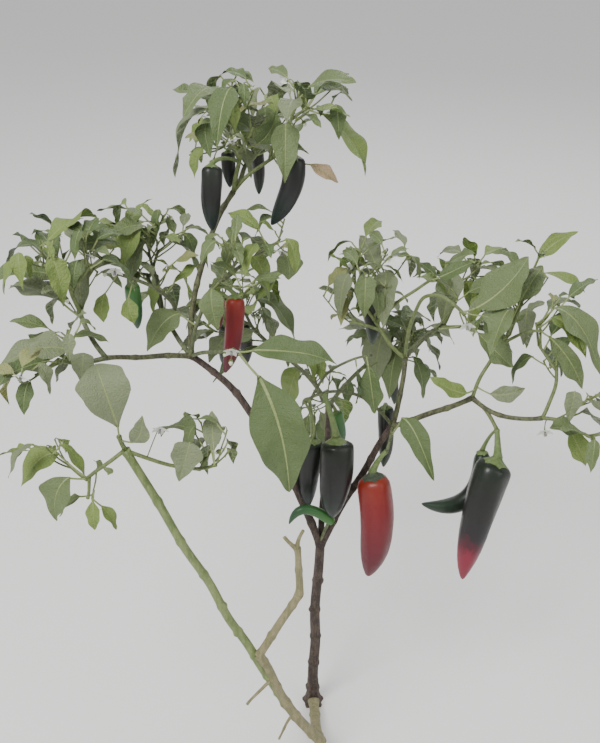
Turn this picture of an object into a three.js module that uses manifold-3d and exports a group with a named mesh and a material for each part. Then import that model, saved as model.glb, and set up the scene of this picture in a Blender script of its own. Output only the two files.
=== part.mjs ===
// Chilli pepper plant: a woody trunk that forks into boughs, two side stems from the root collar,
// and masses of twigs, leaves and hanging pods. Millimetres, +Z up, origin at the trunk's flat cut.
// The plant is seen from the front with +X to the right and +Y away from the viewer.
import * as THREE from "three";
import { mergeVertices } from "three/addons/utils/BufferGeometryUtils.js";
import Module from "manifold-3d";

const wasm = await Module();
wasm.setup();

// Random draws
const RANDOM_FACTOR = 16807;
const RANDOM_MODULUS = 2147483647;
const SEED_STEP = 7919; // between the seeds of two masses
const SEED_WARM_UP = 5; // draws left out at the start of each stream

// Clearances
const GAP = 0.3; // between two pieces that meet
const SPACE_MARGIN = 0.5; // from a mass to the plane it shares with its neighbour
const LIMB_CLEARANCE = 2.5; // from a twig or leaf to a limb's bark
const POD_CLEARANCE = 2.0; // from a twig or leaf to a pod's skin
const OWN_CLEARANCE = 3; // from a leaf to the twigs of its own mass

// Trunk
const TRUNK = "trunk";
const TRUNK_HEIGHT = 246.4;
const TRUNK_LEAN = 6.6; // sideways shift of the fork from the foot
const FLARE_RADIUS = 12.5;
const FLARE_SHARES = [
  [0, FLARE_RADIUS],
  [0.025, 9.6],
  [0.07, 7.6],
]; // share of the trunk's height, radius of the root flare there

// Limbs
const LIMB_SIDES = 6;
const LIMB_STEPS = 5;
const WAY_STEPS = 8; // stretches that stand for a limb's way when its room is tested

// Leaves: a blade on a petiole. Shares are of the blade's length.
const LEAF_LENGTH = 74;
const LEAF_LENGTHS = [0.7, 1.25]; // least and greatest share of that length
const LEAF_WIDTH_SHARE = 0.47;
const LEAF_THICKNESS_SHARE = 0.016;
const LEAF_FOLD = 0.22; // rise of the blade's edge as a share of its half width
const BLADE_STATIONS = [
  [0.27, 0.9],
  [0.63, 0.8],
]; // share of the blade's length, share of its half width
const RIB_SHARE = 0.44; // where the faces of a blade meet on its midrib
const RIB_BOW = [0.3, 0.22]; // how far the midrib keeps the petiole's heading and its own
const PETIOLE_SHARE = 0.36;
const PETIOLE_RADII = [0.5, 0.85]; // at its root inside the twig, and where the blade starts
const PETIOLE_LIFT = 0.35;
const PETIOLE_FOLLOW = 0.75; // how much a petiole follows its twig's heading
const PETIOLE_TESTS = [0.2, 0.6];
const LEAF_DROOPS = [0.2, 0.75]; // share of a blade's heading that points down
const LEAF_ROLL = 0.45; // greatest turn about the midrib, in radians
const LEAF_SPACING = 7; // least room between the places that two leaves are tested at
const LEAF_CANDIDATES = 9;
const LEAF_TRY_SHORTENING = 0.05; // how much shorter each further candidate is
const LEAVES_AT_FORK = 1;
const LEAVES_AT_TIP = 2; // unless the mass names its own count
const LEAF_NODE_AT_FORK = 2; // node steps from a twig's end to its first leaf
const LEAF_NODE_AT_TIP = 0.5;
const LEAF_ROOM_SHARE = 0.3; // of its width, kept clear round the midrib of a leaf that is named
const LEAF_ROOM_START = 3; // stretches of that midrib, from its base, that need no room

// Twigs
const STEM_SHARE = 0.62; // of the way from a limb's tip to the middle of a mass
const STEM_BEND = 0.28; // how far the stem keeps its limb's heading before it turns
const STEM_RADIUS = 2.6; // unless the mass names its own
const STEM_TAPER = 0.86;
const STEM_STEPS = 8;
const TWIG_SIDES = 3;
const TWIG_TAPER = 0.8;
const TWIG_LENGTH_SHARE = 0.4; // of the mass's reach, for the first twigs past the stem
const TWIG_LENGTHS = [0.85, 1.15]; // least and greatest share of a twig's length
const TWIG_SHORTENING = 0.8;
const TWIG_TRIES = [1, 0.65]; // shares of a twig's length that are tried in turn
const TWIG_STEPS = 4; // stretches that stand for a twig's way
const TWIG_TUBE_STEPS = 2;
const TWIG_LIFT = 0.16;
const ROOT_SINK = 1; // how far a twig starts back inside the one that bears it
const ROOT_SHARE = 0.6; // of its radius that a twig's root has inside the one that bears it
const NODE_STEP = 4.2; // between the roots that leave a twig near its end
const NODE_STEPS = 24; // places on a stem that are tried as the root of a pod or leaf
const NODE_RANGE = [0.12, 0.97]; // share of the stem where the first and last of them are
const FORK_ANGLE = 36;
const FORK_SPREAD = 10;
const PULL_TO_SPACE = 0.42; // share of a twig's heading that is drawn towards its mass's space
const TARGET_SPREAD = 1.5;

// Pods
const POD_SIDES = 6;
const POD_SHAPE = [
  [0, 0.6],
  [0.06, 0.93],
  [0.3, 1],
  [0.66, 0.85],
  [0.9, 0.4],
]; // share of the pod's length, share of its greatest radius; it ends in a point
const STALK_RADIUS = 0.6; // grows by the next share of its pod's radius
const STALK_GIRTH = 0.17;
const STALK_PROFILE = [0.6, 0.85]; // share of that radius at its root and at its hook
const STALK_SIDES = 4;
const STALK_RISE = 4.7; // of the hook in a stalk
const STALK_HOOK = 0.55; // share of the way from its root to its pod
const STALK_SEAT = 0.16; // of the pod's radius, from the pod's head to the stalk's end
const CALYX_SHARE = 0.42; // of the pod's radius
const CALYX_GROWTH = 1.8; // least growth of a stalk into its calyx

// Pods that hang free below a fork
const WILD_POD_LENGTH = 66;
const WILD_POD_LENGTHS = [0.75, 1.25]; // least and greatest share of that length
const WILD_POD_GIRTHS = [0.12, 0.16]; // radius as a share of the length
const WILD_POD_REACH = 13; // from its twig outwards to its head
const WILD_POD_DROP = 14; // from its twig down to its head
const WILD_POD_SPLAY = 0.12;
const WILD_POD_BOW = 2;
const WILD_POD_TESTS = [0.08, 0.35, 0.6, 0.9];
const WILD_POD_TRIES = 5;
const WILD_POD_NODE = 2.5; // node steps from a twig's end

const MERGE_DISTANCE = 1e-4;
const BARK_ROUGHNESS = 0.8;
const LEAF_ROUGHNESS = 0.6;
const BARK_DARK = 0x3a2b2a;
const BARK_OLIVE = 0x59533a;
const STEM_GREEN = 0x6f8f4a;
const STEM_PALE = 0xa7a877;
const LEAF_GREEN = 0x6d8a63;
const LEAF_DARK = 0x557651;

const point = (place) => new THREE.Vector3(...place);
const UP = new THREE.Vector3(0, 0, 1);

// Limbs: each runs from its parent's tip through one point to its own tip
const LIMBS = [
  {
    name: TRUNK,
    root: [0, 0, 0],
    through: [TRUNK_LEAN / 4, 0, TRUNK_HEIGHT / 2],
    tip: [TRUNK_LEAN, 0, TRUNK_HEIGHT],
    radii: [6.6, 5.1],
    bark: BARK_DARK,
  },
  {
    name: "left_bough",
    from: TRUNK,
    through: [-54, 4, 400],
    tip: [-127.6, 12, 485.4],
    radii: [4.4, 3.2],
    bark: BARK_DARK,
  },
  {
    name: "left_side_limb",
    from: "left_bough",
    through: [-168, -13, 499],
    tip: [-200.4, -55, 520.6],
    radii: [2.9, 2.3],
    bark: BARK_OLIVE,
  },
  {
    name: "left_rising_limb",
    from: "left_bough",
    through: [-117, 42, 569],
    tip: [-82.1, 60, 644],
    radii: [3.1, 2.5],
    bark: BARK_OLIVE,
  },
  {
    name: "right_bough",
    from: TRUNK,
    through: [47, 3, 338],
    tip: [81.8, 10, 401.4],
    radii: [4.3, 3.3],
    bark: BARK_DARK,
  },
  {
    name: "right_side_limb",
    from: "right_bough",
    through: [115, -8, 426],
    tip: [156.5, -28, 459.5],
    radii: [3, 2.6],
    bark: BARK_OLIVE,
  },
  {
    name: "right_outer_limb",
    from: "right_side_limb",
    through: [185, -50, 452],
    tip: [218.4, -68, 461.3],
    radii: [2.4, 2.1],
    bark: BARK_OLIVE,
  },
  {
    name: "right_rising_limb",
    from: "right_bough",
    through: [91, 24, 432],
    tip: [95, 42, 466],
    radii: [2.9, 2.5],
    bark: BARK_OLIVE,
  },
  {
    name: "back_bough",
    from: TRUNK,
    through: [12, 42, 312],
    tip: [18, 98, 372],
    radii: [3.8, 2.9],
    bark: BARK_DARK,
  },
  {
    name: "front_stem_foot",
    root: [0.6, -10.2, 10],
    through: [4, -54, 13],
    tip: [7.1, -92, 34.3],
    radii: [6, 5.8],
    bark: STEM_PALE,
  },
  {
    name: "front_stem_rise",
    from: "front_stem_foot",
    through: [-11, -101, 70],
    tip: [-33, -105, 113],
    radii: [5.7, 5.4],
    bark: STEM_PALE,
  },
  {
    name: "front_green_stem",
    from: "front_stem_rise",
    through: [-93, -111, 252],
    tip: [-177.6, -122, 460.8],
    radii: [5, 4],
    bark: STEM_GREEN,
  },
  {
    name: "front_pale_stem",
    from: "front_stem_rise",
    through: [-45, -109, 153],
    tip: [-59.6, -112, 190.9],
    radii: [5, 4.5],
    bark: STEM_PALE,
  },
  {
    name: "front_pale_upper_stem",
    from: "front_pale_stem",
    through: [-38, -107, 228],
    tip: [-17, -101, 266],
    radii: [4.4, 4.1],
    bark: STEM_PALE,
  },
  {
    name: "front_pale_stem_tip",
    from: "front_pale_upper_stem",
    through: [-16, -99, 296],
    tip: [-19, -96, 323.2],
    radii: [4, 3.2],
    bark: STEM_PALE,
  },
];

// Masses: the limb whose tip bears it, the middle and reach of its space, how often its twigs
// fork, and what shows from a step away: side twigs, pods and large leaves. A side twig, and a pod
// that names it, leaves the stem at a share of its way. Pods and leaves run from head or base to
// tip, pushed out half way by their bow. A pod's taper slims its tip, and a leaf's upper face looks
// towards its face heading.
const MASSES = [
  {
    name: "fork_spur",
    from: TRUNK,
    centre: [8, -34, 322],
    reach: 46,
    forks: 0,
    tipLeaves: 0,
    stemRadius: 2,
    stemEnd: [22, -16, 318],
    pods: [{ head: [20, -21, 296], tip: [-28, -30, 301], radius: 5.6, bow: [-6, -1, 20] }],
  },
  {
    name: "inner_spur",
    from: "right_bough",
    centre: [14, -8, 440],
    reach: 74,
    forks: 0,
    tipLeaves: 0,
    stemRadius: 1.8,
    stemThrough: [37, 2, 447],
    stemEnd: [-12, -4, 441],
    twigs: [{ at: 0.92, through: [20, -2, 480], tip: [57, 8, 488] }],
    pods: [
      { at: 0.8, head: [22, -10, 396], tip: [17.5, -24, 306], radius: 18, bow: [2, -3, 0] },
      { at: 0.95, head: [-2, 10, 384], tip: [-8, 2, 300], radius: 13, bow: [-2, 0, 0] },
      { head: [76, 32, 412], tip: [76.7, 24, 338], radius: 9, bow: [1, 0, 0] },
    ],
    leaves: [
      { base: [41, 0, 482], tip: [43, -3, 437], width: 15, face: [1, -0.25, 0.1] },
      { base: [53, 2, 481], tip: [61, -8, 428], width: 25, face: [-0.25, -0.95, 0.2] },
    ],
  },
  {
    name: "right_fork_spur",
    from: "right_bough",
    centre: [86, -34, 388],
    reach: 58,
    forks: 0,
    tipLeaves: 0,
    stemRadius: 2,
    stemEnd: [74, -17, 386],
    pods: [{ head: [61, -18, 357], tip: [60, -38, 235], radius: 17.5, bow: [6, -2, 0], taper: -0.12 }],
    leaves: [{ base: [88, -18, 430], tip: [121, -50, 372], width: 24, face: [-0.3, -0.8, 0.5] }],
  },
  {
    name: "left_fork_spur",
    from: "left_bough",
    centre: [-30, -48, 478],
    reach: 84,
    forks: 0,
    tipLeaves: 0,
    stemRadius: 2.1,
    stemThrough: [-102, -14, 505],
    stemEnd: [-74.5, -32, 514],
    leaves: [
      { base: [-56, -58, 503], tip: [-27, -88, 386], width: 54, face: [0.1, -1, 0.25] },
      { base: [-63, -37, 519], tip: [20, -44, 513], width: 34, face: [0, -0.5, 0.87] },
    ],
  },
  {
    name: "left_red_spur",
    from: "left_bough",
    centre: [-72, 22, 590],
    reach: 62,
    forks: 1,
    tipLeaves: 1,
    stemRadius: 2.2,
    stemThrough: [-112, 12, 545],
    stemEnd: [-88, 6, 576],
    twigs: [{ at: 0.85, through: [-62, 20, 592], tip: [-38, 32, 602] }],
    pods: [
      { head: [-80.7, 16, 550.5], tip: [-92.8, 4, 470], radius: 9.5, bow: [3, -3, 0] },
      { head: [-98, 32, 540], tip: [-100, 28, 506], radius: 6.5, bow: [-1, 0, 0] },
    ],
    leaves: [
      { base: [-101, -8, 572], tip: [-96, -22, 533], width: 24, face: [0.1, -0.95, 0.3] },
      { base: [-32, 27, 596], tip: [-27, 18, 568], width: 26, face: [0, -0.9, 0.45] },
      { base: [-137, 28, 526], tip: [-174, 14, 490], width: 31, face: [-0.3, -0.8, 0.5] },
    ],
  },
  {
    name: "left_back_mass",
    from: "left_bough",
    centre: [-182, 82, 540],
    reach: 92,
    forks: 2,
    wildPods: 1,
    twigs: [{ at: 0.7, through: [-150, 28, 545], tip: [-198, 4, 583] }],
    leaves: [
      { base: [-184, -2, 559], tip: [-178, -12, 535], width: 17, face: [0.2, -0.9, 0.4] },
      { base: [-206, -2, 564], tip: [-209, -12, 536], width: 16, face: [-0.1, -0.9, 0.3] },
    ],
  },
  {
    name: "left_outer_mass",
    from: "left_side_limb",
    centre: [-238, -78, 522],
    reach: 78,
    forks: 2,
    leaves: [
      { base: [-228, -72, 537], tip: [-296, -88, 530], width: 31, face: [0, -0.4, 0.9] },
      { base: [-216, -76, 538], tip: [-219, -90, 514], width: 22, face: [0.1, -0.9, 0.4] },
    ],
  },
  {
    name: "left_outer_upper_mass",
    from: "left_side_limb",
    centre: [-246, 0, 574],
    reach: 78,
    forks: 2,
  },
  {
    name: "top_left_mass",
    from: "left_rising_limb",
    centre: [-96, 56, 712],
    reach: 72,
    forks: 2,
    stemRadius: 2.4,
    stemThrough: [-77, 61, 666],
    stemEnd: [-74, 63, 688],
    pods: [
      { head: [-100, 34, 680], tip: [-102, 24, 618], radius: 10, bow: [0, -2, 0] },
      { head: [-88, 88, 676], tip: [-87, 84, 640], radius: 7, bow: [0, 1, 0] },
    ],
    leaves: [
      { base: [-64, 56, 706], tip: [-93, 46, 721], width: 20, face: [-0.2, -0.6, 0.8] },
      { base: [-57, 51, 695], tip: [-37, 37, 729], width: 26, face: [0.3, -0.9, 0.3] },
      { base: [-103, 50, 716], tip: [-101, 34, 688], width: 19, face: [-0.2, -0.9, 0.2] },
    ],
  },
  {
    name: "top_right_mass",
    from: "left_rising_limb",
    centre: [-4, 58, 712],
    reach: 80,
    forks: 2,
    stemRadius: 2,
    stemThrough: [-60, 63, 666],
    stemEnd: [-36, 61, 682],
    twigs: [{ at: 0.8, through: [-34, 62, 706], tip: [-8, 60, 728] }],
    pods: [{ head: [-22, 50, 683], tip: [-44, 38, 618], radius: 11, bow: [7, -2, 0] }],
    leaves: [
      { base: [4, 54, 724], tip: [51, 44, 669], width: 33, face: [0.6, -0.45, 0.5] },
      { base: [1, 62, 746], tip: [34, 58, 736], width: 17, face: [0.2, -0.5, 0.85] },
      { base: [-8, 44, 678], tip: [21, 38, 662], width: 14, face: [0.2, -0.6, 0.8] },
    ],
  },
  {
    name: "top_back_mass",
    from: "left_rising_limb",
    centre: [-62, 138, 668],
    reach: 78,
    forks: 2,
    tipLeaves: 3,
    wildPods: 1,
  },
  {
    name: "right_front_mass",
    from: "right_side_limb",
    centre: [176, -72, 440],
    reach: 70,
    forks: 0,
    tipLeaves: 0,
    stemRadius: 2.2,
    stemEnd: [180, -52, 436],
    pods: [
      { head: [180, -62, 406], tip: [154, -92, 277.5], radius: 19.5, bow: [-5, -3, 3], taper: 0.25 },
      { head: [171, -34, 398.5], tip: [108, -62, 354], radius: 9, bow: [18, 2, -29], taper: -0.25 },
    ],
  },
  {
    name: "right_upper_mass",
    from: "right_side_limb",
    centre: [186, 4, 546],
    reach: 76,
    forks: 1,
    stemRadius: 2,
    stemThrough: [171, -18, 494],
    stemEnd: [192, -6, 521],
    twigs: [
      { at: 0.95, through: [204, 12, 548], tip: [214, 30, 570] },
      { at: 0.8, through: [204, -12, 524], tip: [220, -18, 530] },
    ],
    leaves: [
      { base: [226, -22, 527], tip: [263, -36, 475], width: 21, face: [-0.5, -0.75, 0.5] },
      { base: [226, 26, 572], tip: [270, 20, 556], width: 15, face: [0.2, -0.4, 0.9] },
      { base: [222, 44, 578], tip: [262, 54, 606], width: 17, face: [-0.3, -0.7, 0.7] },
      { base: [150, -36, 470], tip: [110, -42, 493], width: 17, face: [0.3, -0.8, 0.6] },
      { base: [172, -34, 468], tip: [206, -38, 477], width: 17, face: [-0.1, -0.8, 0.6] },
    ],
  },
  {
    name: "right_outer_mass",
    from: "right_outer_limb",
    centre: [252, -88, 466],
    reach: 72,
    forks: 1,
    stemRadius: 2,
    leaves: [
      { base: [241, -84, 501], tip: [236, -94, 470], width: 16, face: [-0.2, -0.9, 0.3] },
      { base: [240, -88, 462], tip: [258, -104, 430], width: 23, face: [0.2, -0.8, 0.5] },
    ],
  },
  {
    name: "right_outer_upper_mass",
    from: "right_outer_limb",
    centre: [246, -8, 520],
    reach: 80,
    forks: 2,
    stemRadius: 2,
  },
  {
    name: "centre_top_mass",
    from: "right_rising_limb",
    centre: [62, 88, 534],
    reach: 72,
    forks: 2,
    stemRadius: 2.2,
    stemThrough: [77, 50, 482],
    stemEnd: [61, 58, 506],
    wildPods: 1,
    twigs: [
      { at: 0.9, through: [90, 46, 534], tip: [117, 35, 561] },
      { at: 0.75, through: [54, 52, 500], tip: [36, 56, 502] },
    ],
    leaves: [{ base: [122, 32, 564], tip: [154, 26, 585], width: 16, face: [-0.2, -0.7, 0.7] }],
  },
  {
    name: "right_arch_mass",
    from: "right_rising_limb",
    centre: [106, -8, 556],
    reach: 68,
    forks: 0,
    stemRadius: 2,
    stemThrough: [108, 20, 547],
    stemEnd: [146, -6, 541],
    leaves: [
      { base: [154, -8, 549], tip: [203, 0, 601], width: 42, face: [-0.45, -0.65, 0.6] },
      { base: [160, -14, 545], tip: [190, -32, 547], width: 22, face: [0, -0.4, 0.9] },
      { base: [159, -12, 525], tip: [194, -31, 497], width: 26, face: [0.4, -0.6, 0.7] },
    ],
  },
  {
    name: "right_back_mass",
    from: "right_rising_limb",
    centre: [166, 108, 494],
    reach: 88,
    forks: 2,
    tipLeaves: 3,
  },
  {
    name: "front_left_outer_mass",
    from: "front_green_stem",
    centre: [-228, -142, 444],
    reach: 70,
    forks: 1,
    tipLeaves: 1,
    stemRadius: 2,
    stemThrough: [-196, -132, 451],
    stemEnd: [-213, -138, 439],
    leaves: [
      { base: [-226, -144, 446], tip: [-243, -156, 404], width: 31, face: [-0.3, -0.9, 0.2] },
      { base: [-236, -132, 464], tip: [-274, -142, 434], width: 27, face: [-0.3, -0.7, 0.6] },
    ],
  },
  {
    name: "front_left_upper_mass",
    from: "front_green_stem",
    centre: [-178, -150, 510],
    reach: 72,
    forks: 0,
    tipLeaves: 0,
    stemRadius: 2.4,
    stemEnd: [-181, -127, 479],
    leaves: [
      { base: [-180, -131, 491], tip: [-200, -104, 542], width: 46, face: [0.1, -1, 0.3], bow: [1, -16, 21] },
      { base: [-170, -130, 474], tip: [-157, -134, 506], width: 18, face: [0.1, -1, 0.2] },
    ],
  },
  {
    name: "front_left_inner_mass",
    from: "front_green_stem",
    centre: [-126, -108, 446],
    reach: 66,
    forks: 1,
    stemRadius: 2,
    stemThrough: [-142, -120, 444],
    stemEnd: [-110, -116, 435],
    leaves: [{ base: [-117, -126, 472], tip: [-128, -138, 436], width: 29, face: [0.1, -0.9, 0.35] }],
  },
  {
    name: "back_left_mass",
    from: "back_bough",
    centre: [-86, 158, 462],
    reach: 92,
    forks: 2,
    tipLeaves: 3,
    wildPods: 2,
  },
  {
    name: "back_right_mass",
    from: "back_bough",
    centre: [92, 172, 420],
    reach: 86,
    forks: 2,
    tipLeaves: 3,
    wildPods: 1,
  },
  {
    name: "back_low_mass",
    from: "back_bough",
    centre: [6, 148, 352],
    reach: 72,
    forks: 1,
    tipLeaves: 3,
    wildPods: 1,
  },
];

// Random draws: one stream for each mass, so that each grows alike every time
function randomStream(seed) {
  let state = seed;
  return () => {
    state = (state * RANDOM_FACTOR) % RANDOM_MODULUS;
    return state / RANDOM_MODULUS;
  };
}

function drawBetween([least, greatest], draw) {
  return least + (greatest - least) * draw();
}

// A curve through one point half way between its ends
function curveThrough(start, through, end) {
  const control = through.clone().multiplyScalar(2);
  control.addScaledVector(start, -0.5).addScaledVector(end, -0.5);
  return new THREE.QuadraticBezierCurve3(start, control, end);
}

// A closed geometry with its shared vertices merged and the faces that collapsed at the axis dropped
function closedGeometry(geometry) {
  geometry.deleteAttribute("normal");
  geometry.deleteAttribute("uv");
  const merged = mergeVertices(geometry, MERGE_DISTANCE);
  const kept = [];
  const index = merged.index.array;
  for (let i = 0; i < index.length; i += 3) {
    const [a, b, c] = [index[i], index[i + 1], index[i + 2]];
    if (a !== b && b !== c && c !== a) kept.push(a, b, c);
  }
  merged.setIndex(kept);
  return merged;
}

function solidOf(geometry) {
  return new wasm.Manifold(
    new wasm.Mesh({
      numProp: 3,
      vertProperties: new Float32Array(geometry.attributes.position.array),
      triVerts: new Uint32Array(geometry.index.array),
    }),
  );
}

// A lathe bent along a curve. The profile lists the share of the curve and the radius there. The
// turn of its sides follows the curve's start, away from the axis that the curve runs along.
const STEEP = 0.8;
function bentLathe(curve, profile, sides, endsInPoint) {
  const outline = [new THREE.Vector2(0, profile[0][0])];
  for (const [share, radius] of profile) outline.push(new THREE.Vector2(radius, share));
  outline.push(new THREE.Vector2(0, endsInPoint ? 1 : profile[profile.length - 1][0]));
  const geometry = closedGeometry(new THREE.LatheGeometry(outline, sides));
  const shares = [...profile.map(([share]) => share), 1];
  const frames = [];
  let side = new THREE.Vector3(1, 0, 0);
  if (Math.abs(curve.getTangentAt(0).x) > STEEP) side.set(0, 1, 0);
  for (const share of shares) {
    const along = curve.getTangentAt(share);
    side = side.clone().addScaledVector(along, -side.dot(along)).normalize();
    const across = side.clone().cross(along);
    frames.push({ centre: curve.getPointAt(share), side, across });
  }
  const places = geometry.attributes.position;
  for (let i = 0; i < places.count; i += 1) {
    const share = places.getY(i);
    const ring = shares.findIndex((value) => Math.abs(value - share) < MERGE_DISTANCE);
    const { centre, side: out, across } = frames[ring];
    const place = centre.clone().addScaledVector(out, places.getX(i));
    place.addScaledVector(across, places.getZ(i));
    places.setXYZ(i, place.x, place.y, place.z);
  }
  return solidOf(geometry);
}

function taperedProfile(from, to, steps) {
  return Array.from({ length: steps + 1 }, (_, i) => [i / steps, from + ((to - from) * i) / steps]);
}

// Limbs
const limbs = new Map();
for (const { name, from, root, through, tip, radii, bark } of LIMBS) {
  const start = from ? limbs.get(from).tip : point(root);
  const curve = curveThrough(start, point(through), point(tip));
  let profile = taperedProfile(radii[0], radii[1], LIMB_STEPS);
  if (name === TRUNK) profile = [...FLARE_SHARES, ...profile.slice(1)];
  limbs.set(name, { name, from, curve, tip: point(tip), radii, bark, profile });
}

// The way that each limb or stem takes, as short straight stretches with one radius
const obstacles = [];
function addObstacle(owner, curve, room, first = 0) {
  obstacles.push({ owner, places: curve.getPoints(WAY_STEPS).slice(first), room });
}

function distanceToWay(place, places) {
  let least = Infinity;
  for (let i = 1; i < places.length; i += 1) {
    const line = new THREE.Line3(places[i - 1], places[i]);
    least = Math.min(least, line.closestPointToPoint(place, true, new THREE.Vector3()).distanceTo(place));
  }
  return least;
}

function clearOfObstacles(place, owner, radius) {
  return obstacles.every(
    (way) => way.owner === owner || distanceToWay(place, way.places) > way.room + radius,
  );
}

for (const { name, curve, radii } of limbs.values()) {
  addObstacle(name, curve, Math.max(...radii) + LIMB_CLEARANCE);
}

// Stems of the masses: each leaves its limb's tip and ends short of its space's middle, and the
// side twigs that are named leave it
for (const mass of MASSES) {
  const limb = limbs.get(mass.from);
  const start = limb.tip;
  mass.middle = point(mass.centre);
  const end = mass.stemEnd ? point(mass.stemEnd) : start.clone().lerp(mass.middle, STEM_SHARE);
  if (mass.stemThrough) {
    mass.stem = curveThrough(start, point(mass.stemThrough), end);
  } else {
    const heading = limb.curve.getTangent(1);
    const straight = end.clone().sub(start);
    const control = straight.clone().normalize().lerp(heading, STEM_BEND).normalize();
    control.multiplyScalar(straight.length() / 2).add(start);
    mass.stem = new THREE.QuadraticBezierCurve3(start, control, end);
  }
  mass.stemRadius ??= STEM_RADIUS;
  mass.sideTwigs = (mass.twigs ?? []).map(({ at, through, tip }) =>
    curveThrough(mass.stem.getPoint(at), point(through), point(tip)),
  );
  for (const curve of [mass.stem, ...mass.sideTwigs]) {
    addObstacle(mass.name, curve, mass.stemRadius + LIMB_CLEARANCE);
  }
}

// The place on a mass's stem or side twigs where a pod or a leaf that is named has its root
function nearestNode(mass, place) {
  const nodes = [];
  for (const curve of [mass.stem, ...mass.sideTwigs]) {
    for (let step = 0; step <= NODE_STEPS; step += 1) {
      nodes.push(curve.getPoint(THREE.MathUtils.lerp(...NODE_RANGE, step / NODE_STEPS)));
    }
  }
  return nodes.reduce((best, next) => (next.distanceTo(place) < best.distanceTo(place) ? next : best));
}

// Pods and their stalks
function bowedCurve(start, end, bow) {
  const middle = start.clone().add(end).divideScalar(2);
  return curveThrough(start, middle.add(point(bow)), end);
}

function podCurve({ head, tip, bow }) {
  return bowedCurve(point(head), point(tip), bow);
}

// A pod hangs by a stalk that rises from the twig and hooks over into the calyx
function stalkCurve(pod) {
  const curve = podCurve(pod);
  const head = curve.getPoint(0).addScaledVector(curve.getTangent(0), STALK_SEAT * pod.radius);
  const through = pod.root.clone().lerp(head, STALK_HOOK).addScaledVector(UP, STALK_RISE);
  return curveThrough(pod.root, through, head);
}

function stalkRadius(pod) {
  return STALK_RADIUS + STALK_GIRTH * pod.radius;
}

function addPodObstacles(mass, pod) {
  addObstacle(mass.name + " pod", podCurve(pod), pod.radius + POD_CLEARANCE);
  addObstacle(mass.name, stalkCurve(pod), stalkRadius(pod) + POD_CLEARANCE);
}

for (const mass of MASSES) {
  for (const pod of mass.pods ?? []) {
    pod.root = pod.at ? mass.stem.getPoint(pod.at) : nearestNode(mass, point(pod.head));
    addPodObstacles(mass, pod);
  }
}

// A place belongs to a mass if it is within its reach and on its side of every plane that it
// shares with a neighbour
function inSpace(mass, place, radius) {
  if (place.distanceTo(mass.middle) > mass.reach - radius) return false;
  const own = place.distanceToSquared(mass.middle) - mass.reach ** 2;
  return MASSES.every((other) => {
    if (other === mass) return true;
    const theirs = place.distanceToSquared(other.middle) - other.reach ** 2;
    const apart = mass.middle.distanceTo(other.middle);
    return (theirs - own) / (2 * apart) > SPACE_MARGIN + radius;
  });
}

function free(mass, places, radius) {
  return places.every(
    (place) => inSpace(mass, place, radius) && clearOfObstacles(place, mass.name, radius),
  );
}

// A leaf: a three-sided petiole that widens into a folded blade with a thick midrib. A blade that
// hangs straight down takes its outward heading from its petiole.
const PLUMB = 0.1;
function leafShape(root, base, tip, width, roll, facing, bow) {
  const stalk = base.clone().sub(root).normalize();
  const chord = tip.clone().sub(base);
  const length = chord.length();
  const along = chord.clone().normalize();
  let outward = new THREE.Vector3(chord.x, chord.y, 0);
  if (outward.length() < PLUMB * length) outward = new THREE.Vector3(stalk.x, stalk.y, 0);
  const level = outward.normalize().cross(UP).normalize();
  const stalkSide = level.clone().addScaledVector(stalk, -level.dot(stalk)).normalize();
  const side = facing ? along.clone().cross(point(facing)) : level.clone();
  side.addScaledVector(along, -side.dot(along)).normalize().applyAxisAngle(along, roll);
  const face = side.clone().cross(along);
  const control = base.clone().addScaledVector(stalk, RIB_BOW[0] * length);
  control.addScaledVector(along, RIB_BOW[1] * length);
  const rib = bow ? bowedCurve(base, tip, bow) : new THREE.QuadraticBezierCurve3(base, control, tip);
  return { root, base, tip, width, length, stalk, stalkSide, side, face, rib };
}

function leafPlaces(leaf) {
  const places = [leaf.base, leaf.rib.getPoint(RIB_SHARE), leaf.tip];
  for (const [share, spread] of BLADE_STATIONS) {
    for (const hand of [1, -1]) {
      const half = (leaf.width / 2) * spread;
      const place = leaf.rib.getPoint(share).addScaledVector(leaf.side, hand * half);
      places.push(place.addScaledVector(leaf.face, LEAF_FOLD * half));
    }
  }
  return places;
}

// The leaves that are named, and the room that the rest keep from them
for (const mass of MASSES) {
  mass.ownLeaves = (mass.leaves ?? []).map(({ base, tip, width, face, bow }) => {
    const root = nearestNode(mass, point(base));
    const leaf = leafShape(root, point(base), point(tip), width, 0, face, bow);
    addObstacle(mass.name + " leaf", leaf.rib, LEAF_ROOM_SHARE * width, LEAF_ROOM_START);
    return { ...leaf, places: leafPlaces(leaf) };
  });
}

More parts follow.
